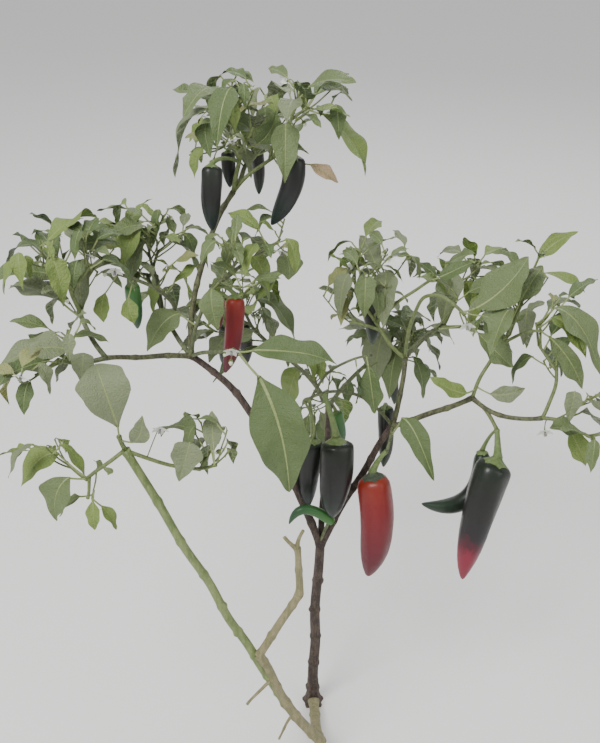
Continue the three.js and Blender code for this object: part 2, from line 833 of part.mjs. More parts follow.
function leafSolid(leaf) {
  const { root, base, tip, stalk, stalkSide, face } = leaf;
  const under = stalkSide.clone().cross(stalk).negate();
  const ring = (centre, radius) => [
    centre.clone().addScaledVector(stalkSide, radius),
    centre.clone().addScaledVector(stalkSide, -radius),
    centre.clone().addScaledVector(under, radius),
  ];
  const [, middle, , rightLow, leftLow, rightHigh, leftHigh] = leafPlaces(leaf);
  const half = (LEAF_THICKNESS_SHARE * leaf.length) / 2;
  const places = [
    ...ring(root, PETIOLE_RADII[0]),
    ...ring(base, PETIOLE_RADII[1]),
    rightLow,
    rightHigh,
    tip,
    leftHigh,
    leftLow,
    middle.clone().addScaledVector(face, half),
    middle.clone().addScaledVector(face, -half),
  ];
  const outline = [3, 6, 7, 8, 9, 10, 4];
  const [above, below, keel] = [11, 12, 5];
  const faces = [
    [0, 3, 4],
    [0, 4, 1],
    [3, 0, 2],
    [3, 2, 5],
    [1, 4, 5],
    [1, 5, 2],
    [0, 1, 2],
    [4, 3, above],
    [keel, 4, below],
    [3, keel, below],
  ];
  for (let i = 1; i < outline.length; i += 1) {
    faces.push([outline[i - 1], outline[i], above], [outline[i], outline[i - 1], below]);
  }
  const geometry = new THREE.BufferGeometry().setFromPoints(places).setIndex(faces.flat());
  return solidOf(geometry);
}

// The growth rule. A twig runs on from a fork, lifts towards the light and forks again in a plane
// turned across the last one.
function growTwig(mass, start, heading, length, radius, forks, plane, runsOn) {
  const lifted = heading.clone().addScaledVector(UP, TWIG_LIFT).normalize();
  let curve = null;
  for (const share of TWIG_TRIES) {
    const end = start.clone().addScaledVector(lifted, length * share);
    const control = start.clone().addScaledVector(heading, 0.5 * length * share);
    const tried = new THREE.QuadraticBezierCurve3(start, control, end);
    if (!curve && free(mass, tried.getPoints(TWIG_STEPS).slice(1), radius)) curve = tried;
  }
  if (!curve) return;
  const twig = { curve, radii: [radius, radius * TWIG_TAPER], steps: TWIG_TUBE_STEPS, forks, runsOn };
  mass.grown.twigs.push(twig);
  forkOn(mass, twig, length, plane);
}

// The place a number of node steps back from a twig's end, where one root leaves it
function nodePlace(curve, steps) {
  return curve.getPoint(1 - (steps * NODE_STEP) / curve.getLength());
}

function forkOn(mass, bearer, length, plane) {
  const { draw } = mass;
  const { curve, radii, forks } = bearer;
  if (forks === 0) return;
  const along = curve.getTangent(1);
  const across = new THREE.Vector3(Math.cos(plane), Math.sin(plane), 0);
  across.addScaledVector(along, -across.dot(along)).normalize();
  for (const hand of [1, -1]) {
    const angle = THREE.MathUtils.degToRad(FORK_ANGLE + FORK_SPREAD * (draw() - 0.5));
    const start = nodePlace(curve, hand > 0 ? 0 : 1);
    const target = new THREE.Vector3(draw() - 0.5, draw() - 0.5, draw() - 0.5);
    target.multiplyScalar(TARGET_SPREAD * mass.reach).add(mass.middle).sub(start).normalize();
    const heading = along.clone().multiplyScalar(Math.cos(angle));
    heading.addScaledVector(across, hand * Math.sin(angle)).lerp(target, PULL_TO_SPACE).normalize();
    const shorter = length * TWIG_SHORTENING * drawBetween(TWIG_LENGTHS, draw);
    const runsOn = hand > 0 ? bearer : null;
    growTwig(mass, start, heading, shorter, radii[1], forks - 1, plane + Math.PI / 2, runsOn);
  }
}

// A pod that hangs free below a fork
function addWildPod(mass, root) {
  const { draw } = mass;
  const turn = draw() * 2 * Math.PI;
  const length = WILD_POD_LENGTH * drawBetween(WILD_POD_LENGTHS, draw);
  const radius = length * drawBetween(WILD_POD_GIRTHS, draw);
  const out = new THREE.Vector3(Math.cos(turn), Math.sin(turn), 0);
  const head = root.clone().addScaledVector(out, WILD_POD_REACH).addScaledVector(UP, -WILD_POD_DROP);
  const tip = head.clone().addScaledVector(out, WILD_POD_SPLAY * length).addScaledVector(UP, -length);
  const bow = out.clone().multiplyScalar(WILD_POD_BOW);
  const pod = { head: head.toArray(), tip: tip.toArray(), radius, bow: bow.toArray(), root };
  const curve = podCurve(pod);
  const places = WILD_POD_TESTS.map((share) => curve.getPoint(share));
  if (!free(mass, places, radius)) return;
  mass.grown.pods.push(pod);
  addPodObstacles(mass, pod);
}

// A leaf at a node: of several drawn, the one with the most room round it
function addLeaf(mass, root, heading) {
  const { draw } = mass;
  let best = null;
  let bestRoom = LEAF_SPACING;
  for (let tries = 0; tries < LEAF_CANDIDATES; tries += 1) {
    const turn = draw() * 2 * Math.PI;
    const stalk = new THREE.Vector3(Math.cos(turn), Math.sin(turn), PETIOLE_LIFT).normalize();
    stalk.addScaledVector(heading, PETIOLE_FOLLOW).normalize();
    const length = LEAF_LENGTH * drawBetween(LEAF_LENGTHS, draw) * (1 - LEAF_TRY_SHORTENING * tries);
    const droop = drawBetween(LEAF_DROOPS, draw);
    const roll = drawBetween([-LEAF_ROLL, LEAF_ROLL], draw);
    const base = root.clone().addScaledVector(stalk, length * PETIOLE_SHARE);
    const chord = stalk.clone().multiplyScalar(1 - droop).addScaledVector(UP, -droop).normalize();
    const tip = base.clone().addScaledVector(chord, length);
    const leaf = leafShape(root, base, tip, length * LEAF_WIDTH_SHARE, roll);
    leaf.places = leafPlaces(leaf);
    const stalkPlaces = PETIOLE_TESTS.map((share) => root.clone().lerp(base, share));
    if (!free(mass, [...stalkPlaces, ...leaf.places], PETIOLE_RADII[1])) continue;
    if (!clearOfOwn(mass, leaf.places)) continue;
    const room = roomRound(mass, leaf);
    if (room > bestRoom && !crossesAny(mass, leaf)) [best, bestRoom] = [leaf, room];
  }
  if (best) mass.grown.leaves.push(best);
}

function clearOfOwn(mass, places) {
  return mass.grown.ways.every((way) => places.every((place) => distanceToWay(place, way) > OWN_CLEARANCE));
}

// A leaf's edges, spokes and petiole as pairs of places, and its blade as six flat faces
const OUTLINE = [0, 3, 5, 2, 6, 4]; // base, right low and high, tip, left high and low
function leafRim({ places }) {
  return OUTLINE.map((from, i) => [places[from], places[OUTLINE[(i + 1) % OUTLINE.length]]]);
}

function leafEdges(leaf) {
  const { root, places } = leaf;
  return [...leafRim(leaf), ...OUTLINE.map((from) => [places[from], places[1]]), [root, places[0]]];
}

function crosses(leaf, other) {
  const faces = leafRim(other);
  return leafEdges(leaf).some(([from, to]) => {
    const along = to.clone().sub(from);
    const ray = new THREE.Ray(from, along.clone().normalize());
    return faces.some(([a, b]) => {
      const hit = ray.intersectTriangle(a, b, other.places[1], false, new THREE.Vector3());
      return hit !== null && hit.distanceTo(from) < along.length();
    });
  });
}

function crossesAny(mass, leaf) {
  return mass.grown.leaves.some((other) => {
    const near = other.places[1].distanceTo(leaf.places[1]) < other.length + leaf.length;
    return near && (crosses(leaf, other) || crosses(other, leaf));
  });
}

function roomRound(mass, leaf) {
  let least = Infinity;
  for (const other of mass.grown.leaves) {
    for (const place of other.places) {
      for (const own of leaf.places) least = Math.min(least, own.distanceTo(place));
    }
  }
  return least;
}

// Twigs come first, on all masses, then pods, then leaves
MASSES.forEach((mass, number) => {
  mass.draw = randomStream(SEED_STEP * (number + 1));
  for (let i = 0; i < SEED_WARM_UP; i += 1) mass.draw();
  mass.grown = { twigs: [], leaves: [...mass.ownLeaves], pods: [...(mass.pods ?? [])] };
  mass.stemRadii = [mass.stemRadius, mass.stemRadius * STEM_TAPER];
  const stem = { curve: mass.stem, radii: mass.stemRadii, steps: STEM_STEPS, forks: mass.forks };
  const length = (mass.reach * TWIG_LENGTH_SHARE) / TWIG_SHORTENING;
  forkOn(mass, stem, length, mass.draw() * Math.PI);
  const [, radius] = mass.stemRadii;
  const radii = [radius, radius * TWIG_TAPER];
  const sideTwigs = mass.sideTwigs.map((curve) => ({ curve, radii, steps: STEM_STEPS, forks: 0 }));
  mass.grown.bearers = [stem, ...sideTwigs, ...mass.grown.twigs];
  mass.grown.ways = mass.grown.bearers.map(({ curve }) => curve.getPoints(TWIG_STEPS));
});

for (const mass of MASSES) {
  const wanted = mass.grown.pods.length + (mass.wildPods ?? 0);
  for (const { curve } of mass.grown.bearers) {
    for (let tries = 0; tries < WILD_POD_TRIES; tries += 1) {
      if (mass.grown.pods.length < wanted) addWildPod(mass, nodePlace(curve, WILD_POD_NODE));
    }
  }
}

for (const mass of MASSES) {
  for (const { curve, forks } of mass.grown.bearers) {
    const first = forks > 0 ? LEAF_NODE_AT_FORK : LEAF_NODE_AT_TIP;
    const wanted = forks > 0 ? LEAVES_AT_FORK : (mass.tipLeaves ?? LEAVES_AT_TIP);
    for (let leaf = 0; leaf < wanted; leaf += 1) {
      addLeaf(mass, nodePlace(curve, first + leaf), curve.getTangent(1));
    }
  }
}

function podSolid(pod) {
  const slimmed = (share) => pod.radius * (1 - (pod.taper ?? 0) * share);
  const profile = POD_SHAPE.map(([share, width]) => [share, width * slimmed(share)]);
  return bentLathe(podCurve(pod), profile, POD_SIDES, true);
}

function stalkSolid(pod) {
  const radius = stalkRadius(pod);
  const profile = [
    [0, STALK_PROFILE[0] * radius],
    [STALK_HOOK, STALK_PROFILE[1] * radius],
    [1, Math.max(CALYX_GROWTH * radius, CALYX_SHARE * pod.radius)],
  ];
  return bentLathe(stalkCurve(pod), profile, STALK_SIDES, false);
}

// Twigs that run on from one another make one tube. A tube that leaves a twig's side starts back
// inside it.
function twigTube(bearers, first) {
  const run = [first];
  let next = first;
  while (next) {
    const last = next;
    next = bearers.find((twig) => twig.runsOn === last);
    if (next) run.push(next);
  }
  const path = new THREE.CurvePath();
  const fromSide = first !== bearers[0];
  const start = first.curve.getPoint(0);
  if (fromSide) start.addScaledVector(first.curve.getTangent(0), -ROOT_SINK);
  run.forEach(({ curve }, i) => {
    path.add(i === 0 ? new THREE.QuadraticBezierCurve3(start, curve.v1, curve.v2) : curve);
  });
  const lengths = path.curves.map((curve) => curve.getLength());
  const whole = path.getLength();
  const profile = [[0, first.radii[0] * (fromSide ? ROOT_SHARE : 1)]];
  let reached = 0;
  run.forEach(({ radii, steps }, i) => {
    for (let step = 1; step <= steps; step += 1) {
      const share = step / steps;
      const radius = radii[0] + (radii[1] - radii[0]) * share;
      profile.push([(reached + lengths[i] * share) / whole, radius]);
    }
    reached += lengths[i];
  });
  profile[profile.length - 1][0] = 1;
  return bentLathe(path, profile, TWIG_SIDES, false);
}

// One mass: the stem, twigs, leaves and pods joined into one body. Loose scraps are dropped and
// a hollow that the joining seals is filled.
function largestBody(solid) {
  return solid.decompose().reduce((best, next) => (next.volume() > best.volume() ? next : best));
}

function massSolid(mass) {
  const { bearers, leaves, pods } = mass.grown;
  let solid = twigTube(bearers, bearers[0]);
  for (const twig of bearers.slice(1)) {
    if (!twig.runsOn) solid = solid.add(twigTube(bearers, twig));
  }
  for (const leaf of leaves) solid = solid.add(leafSolid(leaf));
  for (const pod of pods) solid = solid.add(stalkSolid(pod)).add(podSolid(pod));
  return solid;
}

function meshOf(name, solid, colour, roughness) {
  const made = solid.getMesh();
  const geometry = new THREE.BufferGeometry();
  const places = new Float32Array(made.numVert * 3);
  for (let i = 0; i < made.numVert; i += 1) {
    places.set(made.vertProperties.subarray(i * made.numProp, i * made.numProp + 3), i * 3);
  }
  geometry.setAttribute("position", new THREE.BufferAttribute(places, 3));
  geometry.setIndex(new THREE.BufferAttribute(made.triVerts, 1));
  geometry.computeVertexNormals();
  const mesh = new THREE.Mesh(
    geometry,
    new THREE.MeshStandardMaterial({ color: colour, roughness, metalness: 0 }),
  );
  mesh.name = name;
  return mesh;
}

// Each piece is cut clear of the ones that it meets, by the same way grown by the gap on its flats
function sleeve(curve, profile, sides) {
  const growth = GAP / Math.cos(Math.PI / sides);
  const grown = profile.map(([share, radius]) => [share, radius + growth]);
  const [start, end] = [curve.getPoint(0), curve.getPoint(1)];
  start.addScaledVector(curve.getTangent(0), -GAP);
  end.addScaledVector(curve.getTangent(1), GAP);
  return bentLathe(new THREE.QuadraticBezierCurve3(start, curve.v1, end), grown, sides, false);
}

const plant = new THREE.Group();
plant.name = "chilli_pepper_plant";
const placed = [];
for (const limb of limbs.values()) {
  let solid = bentLathe(limb.curve, limb.profile, LIMB_SIDES, false);
  for (const earlier of placed) solid = solid.subtract(earlier.sleeve);
  solid = largestBody(solid);
  placed.push({ name: limb.name, sleeve: sleeve(limb.curve, limb.profile, LIMB_SIDES) });
  plant.add(meshOf(limb.name, solid, limb.bark, BARK_ROUGHNESS));
}
for (const mass of MASSES) {
  let solid = massSolid(mass);
  for (const earlier of placed) solid = solid.subtract(earlier.sleeve);
  solid = largestBody(solid);
  const stemProfile = taperedProfile(...mass.stemRadii, STEM_STEPS);
  placed.push({ name: mass.name, sleeve: sleeve(mass.stem, stemProfile, TWIG_SIDES) });
  const colour = mass.name.startsWith("top") ? LEAF_DARK : LEAF_GREEN;
  plant.add(meshOf(mass.name, solid, colour, LEAF_ROUGHNESS));
}

export default plant;
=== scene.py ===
# A chilli pepper plant in fruit. Its woody trunk forks into thin crooked boughs that carry masses
# of twigs, drooping leaves and hanging pods, and two side stems rise in front from its root collar.
import math

import bpy
import numpy as np
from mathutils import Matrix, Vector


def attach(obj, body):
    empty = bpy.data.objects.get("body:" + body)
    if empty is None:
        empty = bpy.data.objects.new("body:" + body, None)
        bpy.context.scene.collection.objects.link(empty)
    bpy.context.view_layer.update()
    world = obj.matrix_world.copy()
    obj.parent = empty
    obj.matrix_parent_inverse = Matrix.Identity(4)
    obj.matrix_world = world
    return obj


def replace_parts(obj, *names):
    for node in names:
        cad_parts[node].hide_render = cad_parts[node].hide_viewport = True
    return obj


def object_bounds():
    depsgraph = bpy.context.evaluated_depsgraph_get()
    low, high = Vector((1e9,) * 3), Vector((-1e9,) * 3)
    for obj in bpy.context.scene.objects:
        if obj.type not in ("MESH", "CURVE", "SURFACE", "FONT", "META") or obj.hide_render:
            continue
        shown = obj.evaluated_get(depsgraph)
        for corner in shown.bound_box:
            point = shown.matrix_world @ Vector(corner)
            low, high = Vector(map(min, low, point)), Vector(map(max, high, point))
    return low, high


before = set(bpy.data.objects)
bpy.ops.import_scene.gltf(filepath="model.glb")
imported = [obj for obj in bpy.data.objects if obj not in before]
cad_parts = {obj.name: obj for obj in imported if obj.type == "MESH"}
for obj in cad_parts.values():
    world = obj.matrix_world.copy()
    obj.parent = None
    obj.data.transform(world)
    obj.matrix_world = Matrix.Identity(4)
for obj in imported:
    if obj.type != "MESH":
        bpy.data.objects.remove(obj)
cad_box = [list(corner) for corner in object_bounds()]

# The view and the light: a pale studio floor under soft light from above, as on an overcast day,
# and a camera that stands a metre above the ground and looks down on the plant at 30 degrees.
EYE = (-0.0162, -0.911, 1.0)
PITCH = math.radians(30)
LENS_MM, FILM_MM = 50, 36
SKY_COLOUR, SKY_STRENGTH = (0.97, 0.98, 1.0, 1), 0.72
SOFT_LIGHTS = {  # place, what it is aimed at, size in metres, power in watts
    "key_light": ((-1.1, -1.3, 2.3), (0, 0, 0.4), 1.1, 62),
    "fill_light": ((1.6, -0.9, 1.5), (0, 0, 0.4), 1.6, 12),
    "back_light": ((0.4, 1.7, 1.9), (0, 0, 0.5), 1.2, 20),
}
FLOOR_HALF = 45.0
FLOOR_COLOUR, FLOOR_ROUGHNESS = (0.84, 0.83, 0.81, 1), 0.85


def placed(name, data):
    thing = bpy.data.objects.new(name, data)
    bpy.context.collection.objects.link(thing)
    return thing


def feed(tree, node, inputs):
    """Gives a shader node's inputs their values, or links them to other nodes' outputs."""
    for socket, value in inputs.items():
        if isinstance(value, bpy.types.NodeSocket):
            tree.links.new(value, node.inputs[socket])
        else:
            node.inputs[socket].default_value = value


camera = placed("view", bpy.data.cameras.new("view"))
camera.data.lens = LENS_MM
camera.data.sensor_width = FILM_MM
camera.location = EYE
camera.rotation_euler = (math.pi / 2 - PITCH, 0, 0)
bpy.context.scene.camera = camera

sky = bpy.data.worlds.new("soft_sky")
sky.use_nodes = True
feed(sky.node_tree, sky.node_tree.nodes["Background"], {"Color": SKY_COLOUR, "Strength": SKY_STRENGTH})
bpy.context.scene.world = sky

for name, (place, target, size, power) in SOFT_LIGHTS.items():
    lamp = placed(name, bpy.data.lights.new(name, "AREA"))
    lamp.data.energy = power
    lamp.data.size = size
    lamp.location = place
    aim = np.array(target) - np.array(place)
    tilt = math.acos(-aim[2] / np.linalg.norm(aim))
    lamp.rotation_euler = (tilt, 0, math.atan2(aim[1], aim[0]) - math.pi / 2)

floor_mesh = bpy.data.meshes.new("studio_floor")
floor_corners = [(x * FLOOR_HALF, y * FLOOR_HALF, 0) for x, y in ((-1, -1), (1, -1), (1, 1), (-1, 1))]
floor_mesh.from_pydata(floor_corners, [], [(0, 1, 2, 3)])
paint = bpy.data.materials.new("pale_floor")
paint.use_nodes = True
paint_values = {"Base Color": FLOOR_COLOUR, "Roughness": FLOOR_ROUGHNESS}
feed(paint.node_tree, paint.node_tree.nodes["Principled BSDF"], paint_values)
floor_mesh.materials.append(paint)
floor = placed("studio_floor", floor_mesh)

# The limbs: the trunk, the boughs that its fork bears, their side limbs, and the two stems that
# rise in front from the root collar. The trunk and boughs are old dark wood, the side limbs younger
# and olive, and the front stems are smooth, one green and one bleached. Sizes are in millimetres.
UP = np.array((0.0, 0.0, 1.0))
TURN = 2 * math.pi
MM = 0.001
LENGTH_PARTS, HEADING_STEP = 200, 1e-4
RING_HINTS, SIDEWAYS = ((1.0, 0.2, 0.3), (0.3, 1.0, 0.2)), 0.7  # the second where a tube starts sideways


def unit(heading):
    return heading / np.linalg.norm(heading)


class Route:
    """A bent way from its start past one control place to its end."""

    def __init__(self, start, control, end):
        self.start, self.control, self.end = (np.array(place, float) for place in (start, control, end))

    def at(self, share):
        share = np.asarray(share, float)[..., None]
        rest = 1 - share
        return rest * rest * self.start + 2 * rest * share * self.control + share * share * self.end

    def heading(self, share):
        return unit(self.at(min(share + HEADING_STEP, 1.0)) - self.at(max(share - HEADING_STEP, 0.0)))

    def stretches(self, count):
        return self.at(np.linspace(0, 1, count + 1))

    def length(self):
        return float(np.linalg.norm(np.diff(self.stretches(LENGTH_PARTS), axis=0), axis=1).sum())


def route_through(start, through, end):
    start, through, end = (np.array(place, float) for place in (start, through, end))
    return Route(start, 2 * through - 0.5 * start - 0.5 * end, end)


def around(heading, side, angles):
    """Headings square to one heading, at some angles round it from a side."""
    return np.cos(angles)[:, None] * side + np.sin(angles)[:, None] * np.cross(heading, side)


class Gathering:
    """Shapes that are joined into one mesh. A mark is two numbers at each place. Faces come in
    groups, with one finish for all of them or one for each."""

    def __init__(self):
        self.places, self.marks, self.faces, self.finishes = [], [], [], []
        self.count = 0

    def add(self, places, faces, finish=0, marks=None):
        self.places.append(places)
        self.marks.append(np.zeros((len(places), 2)) if marks is None else marks)
        for number, group in enumerate(faces):
            self.faces.append(np.asarray(group) + self.count)
            self.finishes.append(np.full(len(group), finish if isinstance(finish, int) else finish[number]))
        self.count += len(places)

    def piece(self, name, slot, finishes):
        mesh = bpy.data.meshes.new(name)
        for finish in finishes:
            mesh.materials.append(finish)
        places = np.concatenate(self.places) * MM
        corners = np.concatenate([group.ravel() for group in self.faces])
        sizes = np.concatenate([np.full(len(group), group.shape[1]) for group in self.faces])
        mesh.vertices.add(len(places))
        mesh.vertices.foreach_set("co", places.ravel())
        mesh.loops.add(len(corners))
        mesh.loops.foreach_set("vertex_index", corners.astype(np.int32))
        mesh.polygons.add(len(sizes))
        starts = np.concatenate([[0], np.cumsum(sizes)[:-1]])
        mesh.polygons.foreach_set("loop_start", starts.astype(np.int32))
        mesh.polygons.foreach_set("material_index", np.concatenate(self.finishes).astype(np.int32))
        mesh.polygons.foreach_set("use_smooth", np.ones(len(sizes), bool))
        along = mesh.uv_layers.new(name="along")
        along.data.foreach_set("uv", np.concatenate(self.marks)[corners].ravel())
        mesh.update(calc_edges=True)
        mesh.validate()
        made = placed(name, mesh)
        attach(made, "root")
        return made


def net_faces(rows, columns, closed=True):
    """The four-sided faces between rows of places. A closed row is a ring, an open one a strip."""
    ends = columns if closed else columns - 1
    row, column = np.meshgrid(np.arange(rows - 1) * columns, np.arange(ends), indexing="ij")
    after = (column + 1) % columns
    corners = (row + column, row + after, row + columns + after, row + columns + column)
    return np.stack(corners, -1).reshape(-1, 4)


def tube(way, radii, sides):
    """Rings round a way, closed at both ends. radii has a number for each ring or each place."""
    headings = np.gradient(way, axis=0)
    headings /= np.linalg.norm(headings, axis=1)[:, None]
    side = np.cross(headings[0], RING_HINTS[int(abs(headings[0][0]) > SIDEWAYS)])
    angles = np.arange(sides) * TURN / sides
    radii = np.broadcast_to(np.reshape(radii, (len(way), -1)), (len(way), sides))
    rings = []
    for place, heading, reach in zip(way, headings, radii):
        side = unit(side - heading * side.dot(heading))
        rings.append(place + reach[:, None] * around(heading, side, angles))
    caps = []
    for row, hand in ((0, -1), (len(way) - 1, 1)):
        rim = np.arange(sides) + row * sides
        middle = len(way) * sides + len(caps)
        caps.append(np.stack([np.full(sides, middle), rim, np.roll(rim, -1)], -1)[:, ::hand])
    return np.concatenate([*rings, way[[0, -1]]]), [net_faces(len(way), sides), *caps]


LIMBS = {  # the limb or place that it grows from, a place half way along, its tip, its radii, its bark
    "trunk": ((0, 0, 0), (1.65, 0, 123.2), (6.6, 0, 246.4), (6.6, 5.1), "dark"),
    "left_bough": ("trunk", (-54, 4, 400), (-127.6, 12, 485.4), (4.4, 3.2), "dark"),
    "left_side_limb": ("left_bough", (-168, -13, 499), (-200.4, -55, 520.6), (2.9, 2.3), "olive"),
    "left_rising_limb": ("left_bough", (-117, 42, 569), (-82.1, 60, 644), (3.1, 2.5), "olive"),
    "right_bough": ("trunk", (47, 3, 338), (81.8, 10, 401.4), (4.3, 3.3), "dark"),
    "right_side_limb": ("right_bough", (115, -8, 426), (156.5, -28, 459.5), (3, 2.6), "olive"),
    "right_outer_limb": ("right_side_limb", (185, -50, 452), (218.4, -68, 461.3), (2.4, 2.1), "olive"),
    "right_rising_limb": ("right_bough", (91, 24, 432), (95, 42, 466), (2.9, 2.5), "olive"),
    "back_bough": ("trunk", (12, 42, 312), (18, 98, 372), (3.8, 2.9), "dark"),
    "front_stem_foot": ((0.6, -10.2, 10), (4, -54, 13), (7.1, -92, 34.3), (6, 5.8), "pale"),
    "front_stem_rise": ("front_stem_foot", (-11, -101, 70), (-33, -105, 113), (5.7, 5.4), "pale"),
    "front_green_stem": ("front_stem_rise", (-93, -111, 252), (-177.6, -122, 460.8), (5, 4), "green"),
    "front_pale_stem": ("front_stem_rise", (-45, -109, 153), (-59.6, -112, 190.9), (5, 4.5), "pale"),
    "front_pale_upper_stem": ("front_pale_stem", (-38, -107, 228), (-17, -101, 266), (4.4, 4.1), "pale"),
    "front_pale_stem_tip": ("front_pale_upper_stem", (-16, -99, 296), (-19, -96, 323.2), (4, 3.2), "pale"),
}
for name, (origin, through, tip, radii, bark) in LIMBS.items():
    start = LIMBS[origin]["tip"] if origin in LIMBS else origin
    LIMBS[name] = dict(tip=tip, radii=radii, bark=bark, route=route_through(start, through, tip))

STUBS = (  # the limb that it stands on, its way, its radii at both ends
    ("front_pale_stem_tip", ((-19, -96, 321), (-25, -97.5, 331), (-32, -98, 339)), (2.6, 1.5)),
    ("front_pale_stem_tip", ((-19, -96, 322), (-17, -95, 334), (-13, -94, 344)), (2.4, 1.4)),
    ("front_pale_stem", ((-45, -109, 153), (-61, -112, 138), (-74, -114, 119)), (2.1, 1.4)),
    ("front_stem_rise", ((-23, -103.6, 92), (-33, -104, 74), (-40, -104, 52)), (1.9, 1.1)),
)
STUB_SIDES = 10
RING_STEP, LEAST_RINGS = 1.7, 6
SWAY, SWAY_WAVES, SWAY_HINT = 1.1, (21, 15), (0.2, 0.9, 0.35)
NODE_GAP = 43.0  # between the joints of a limb, each with the scar of a leaf that has dropped
NODE_STARTS, NODE_SWELL, NODE_REACH, LAST_NODE = (0.5, 0.9), 0.17, 3.0, 12
SCAR_SWELL, SCAR_SHARPNESS, SCAR_TURN = 0.2, 5, math.pi * 0.8
COLLAR_SWELL, COLLAR_REACH = 0.22, 5.0
FLARE = ((0, 12.5), (6, 9.6), (17, 7.6), (40, 6.7))  # height, radius of the trunk's foot there
BUTTRESSES, BUTTRESS_DEPTH, BUTTRESS_HEIGHT, BUTTRESS_TURN = 5, 0.14, 9, 0.7
RIDGES = ((3, 0.045, 61.0), (5, 0.035, 37.0), (9, 0.028, 19.0))  # how many, depth, length of their twist
BARK_SEEDS = (101, 37)
DRAW_FACTOR, DRAW_LIMIT = 16807, 2147483647
PHASES = 6  # where a wave may start, in radians


def random_stream(seeds, number, warm_up=5):
    """Seeded numbers from nought to one. seeds has the first seed and the step to the next."""
    state = seeds[0] + seeds[1] * number

    def draw():
        nonlocal state
        state = state * DRAW_FACTOR % DRAW_LIMIT
        return state / DRAW_LIMIT

    for _ in range(warm_up):
        draw()
    return draw


def any_phase(draw):
    return draw() * PHASES


def draw_between(limits, draw):
    return limits[0] + (limits[1] - limits[0]) * draw()


def level_across(route, hint):
    """The heading that a way sways along."""
    return unit(np.cross(route.heading(0.5), hint))


def bark_tube(route, radii, sides, relief, dice, flare=()):
    """A limb with the ridges, joints and leaf scars of its bark."""
    length = route.length()
    share = np.linspace(0, 1, max(LEAST_RINGS, int(length / RING_STEP)) + 1)
    distance = share * length
    way = route.at(share)
    level = level_across(route, SWAY_HINT)
    for wave, aside in zip(SWAY_WAVES, (level, np.cross(level, route.heading(0.5)))):
        sway = SWAY * np.sin(math.pi * share) * np.sin(distance / wave + any_phase(dice))
        way = way + sway[:, None] * aside
    radius = radii[0] + (radii[1] - radii[0]) * share
    angle = np.arange(sides) * TURN / sides
    skin = np.ones((len(share), sides))
    for count, depth, twist in RIDGES:
        skin += relief * depth * np.sin(count * angle + distance[:, None] / twist + any_phase(dice))
    if flare:
        heights, reaches = zip(*flare)
        foot = np.interp(distance, heights, reaches)
        radius = np.maximum(radius, np.where(distance < heights[-1], foot, 0))
        height = np.exp(-distance / BUTTRESS_HEIGHT)[:, None]
        skin += BUTTRESS_DEPTH * height * np.cos(BUTTRESSES * angle + BUTTRESS_TURN)
        way[0] = route.start
    else:
        for gap in (distance, length - distance):
            skin += COLLAR_SWELL * np.exp(-((gap / COLLAR_REACH) ** 2))[:, None]
    hand = 0
    for place in np.arange(NODE_GAP * draw_between(NODE_STARTS, dice), length - LAST_NODE, NODE_GAP):
        here = np.exp(-(((distance - place) / NODE_REACH) ** 2))[:, None]
        scar = np.exp(SCAR_SHARPNESS * (np.cos(angle - hand - dice()) - 1))
        skin += here * (NODE_SWELL + SCAR_SWELL * scar)
        hand += SCAR_TURN
    places, faces = tube(way, radius[:, None] * skin, sides)
    if flare:
        places[:, 2] = np.maximum(places[:, 2], 0)
        places[:sides, 2] = 0
    return places, faces


def new_effect(name, given, results):
    """The node group of an effect that several finishes share, with its inputs and outputs."""
    tree = bpy.data.node_groups.new(name, "ShaderNodeTree")
    for way, sockets in (("INPUT", given), ("OUTPUT", results)):
        for socket, kind in sockets.items():
            tree.interface.new_socket(socket, in_out=way, socket_type="NodeSocket" + kind)
    return tree


def effect_ends(tree):
    return tree.nodes.new("NodeGroupInput").outputs, tree.nodes.new("NodeGroupOutput")


def outputs_of(tree, kind, inputs, **settings):
    """Adds a shader node and gives its outputs."""
    node = tree.nodes.new("ShaderNode" + kind)
    for name, value in settings.items():
        setattr(node, name, value)
    feed(tree, node, inputs)
    return node.outputs


def worked_out(tree, operation, *values):
    return outputs_of(tree, "Math", dict(enumerate(values)), operation=operation)["Value"]


def mapped(tree, value, limits, to=(0, 1), curve="SMOOTHSTEP"):
    ends = dict(zip(("From Min", "From Max", "To Min", "To Max"), (*limits, *to)))
    return outputs_of(tree, "MapRange", {"Value": value, **ends}, interpolation_type=curve)["Result"]


def laid_over(tree, mask, under, over):
    return outputs_of(tree, "Mix", {"Factor": mask, "A": under, "B": over}, data_type="RGBA")["Result"]


FLECK_FINENESS = 5.3
PATCH_EDGES, FLECK_EDGES = (0.38, 0.64), (0.56, 0.7)
SHINE_FROM, SHINE_SPREAD = (0.7, 1.3), 0.1


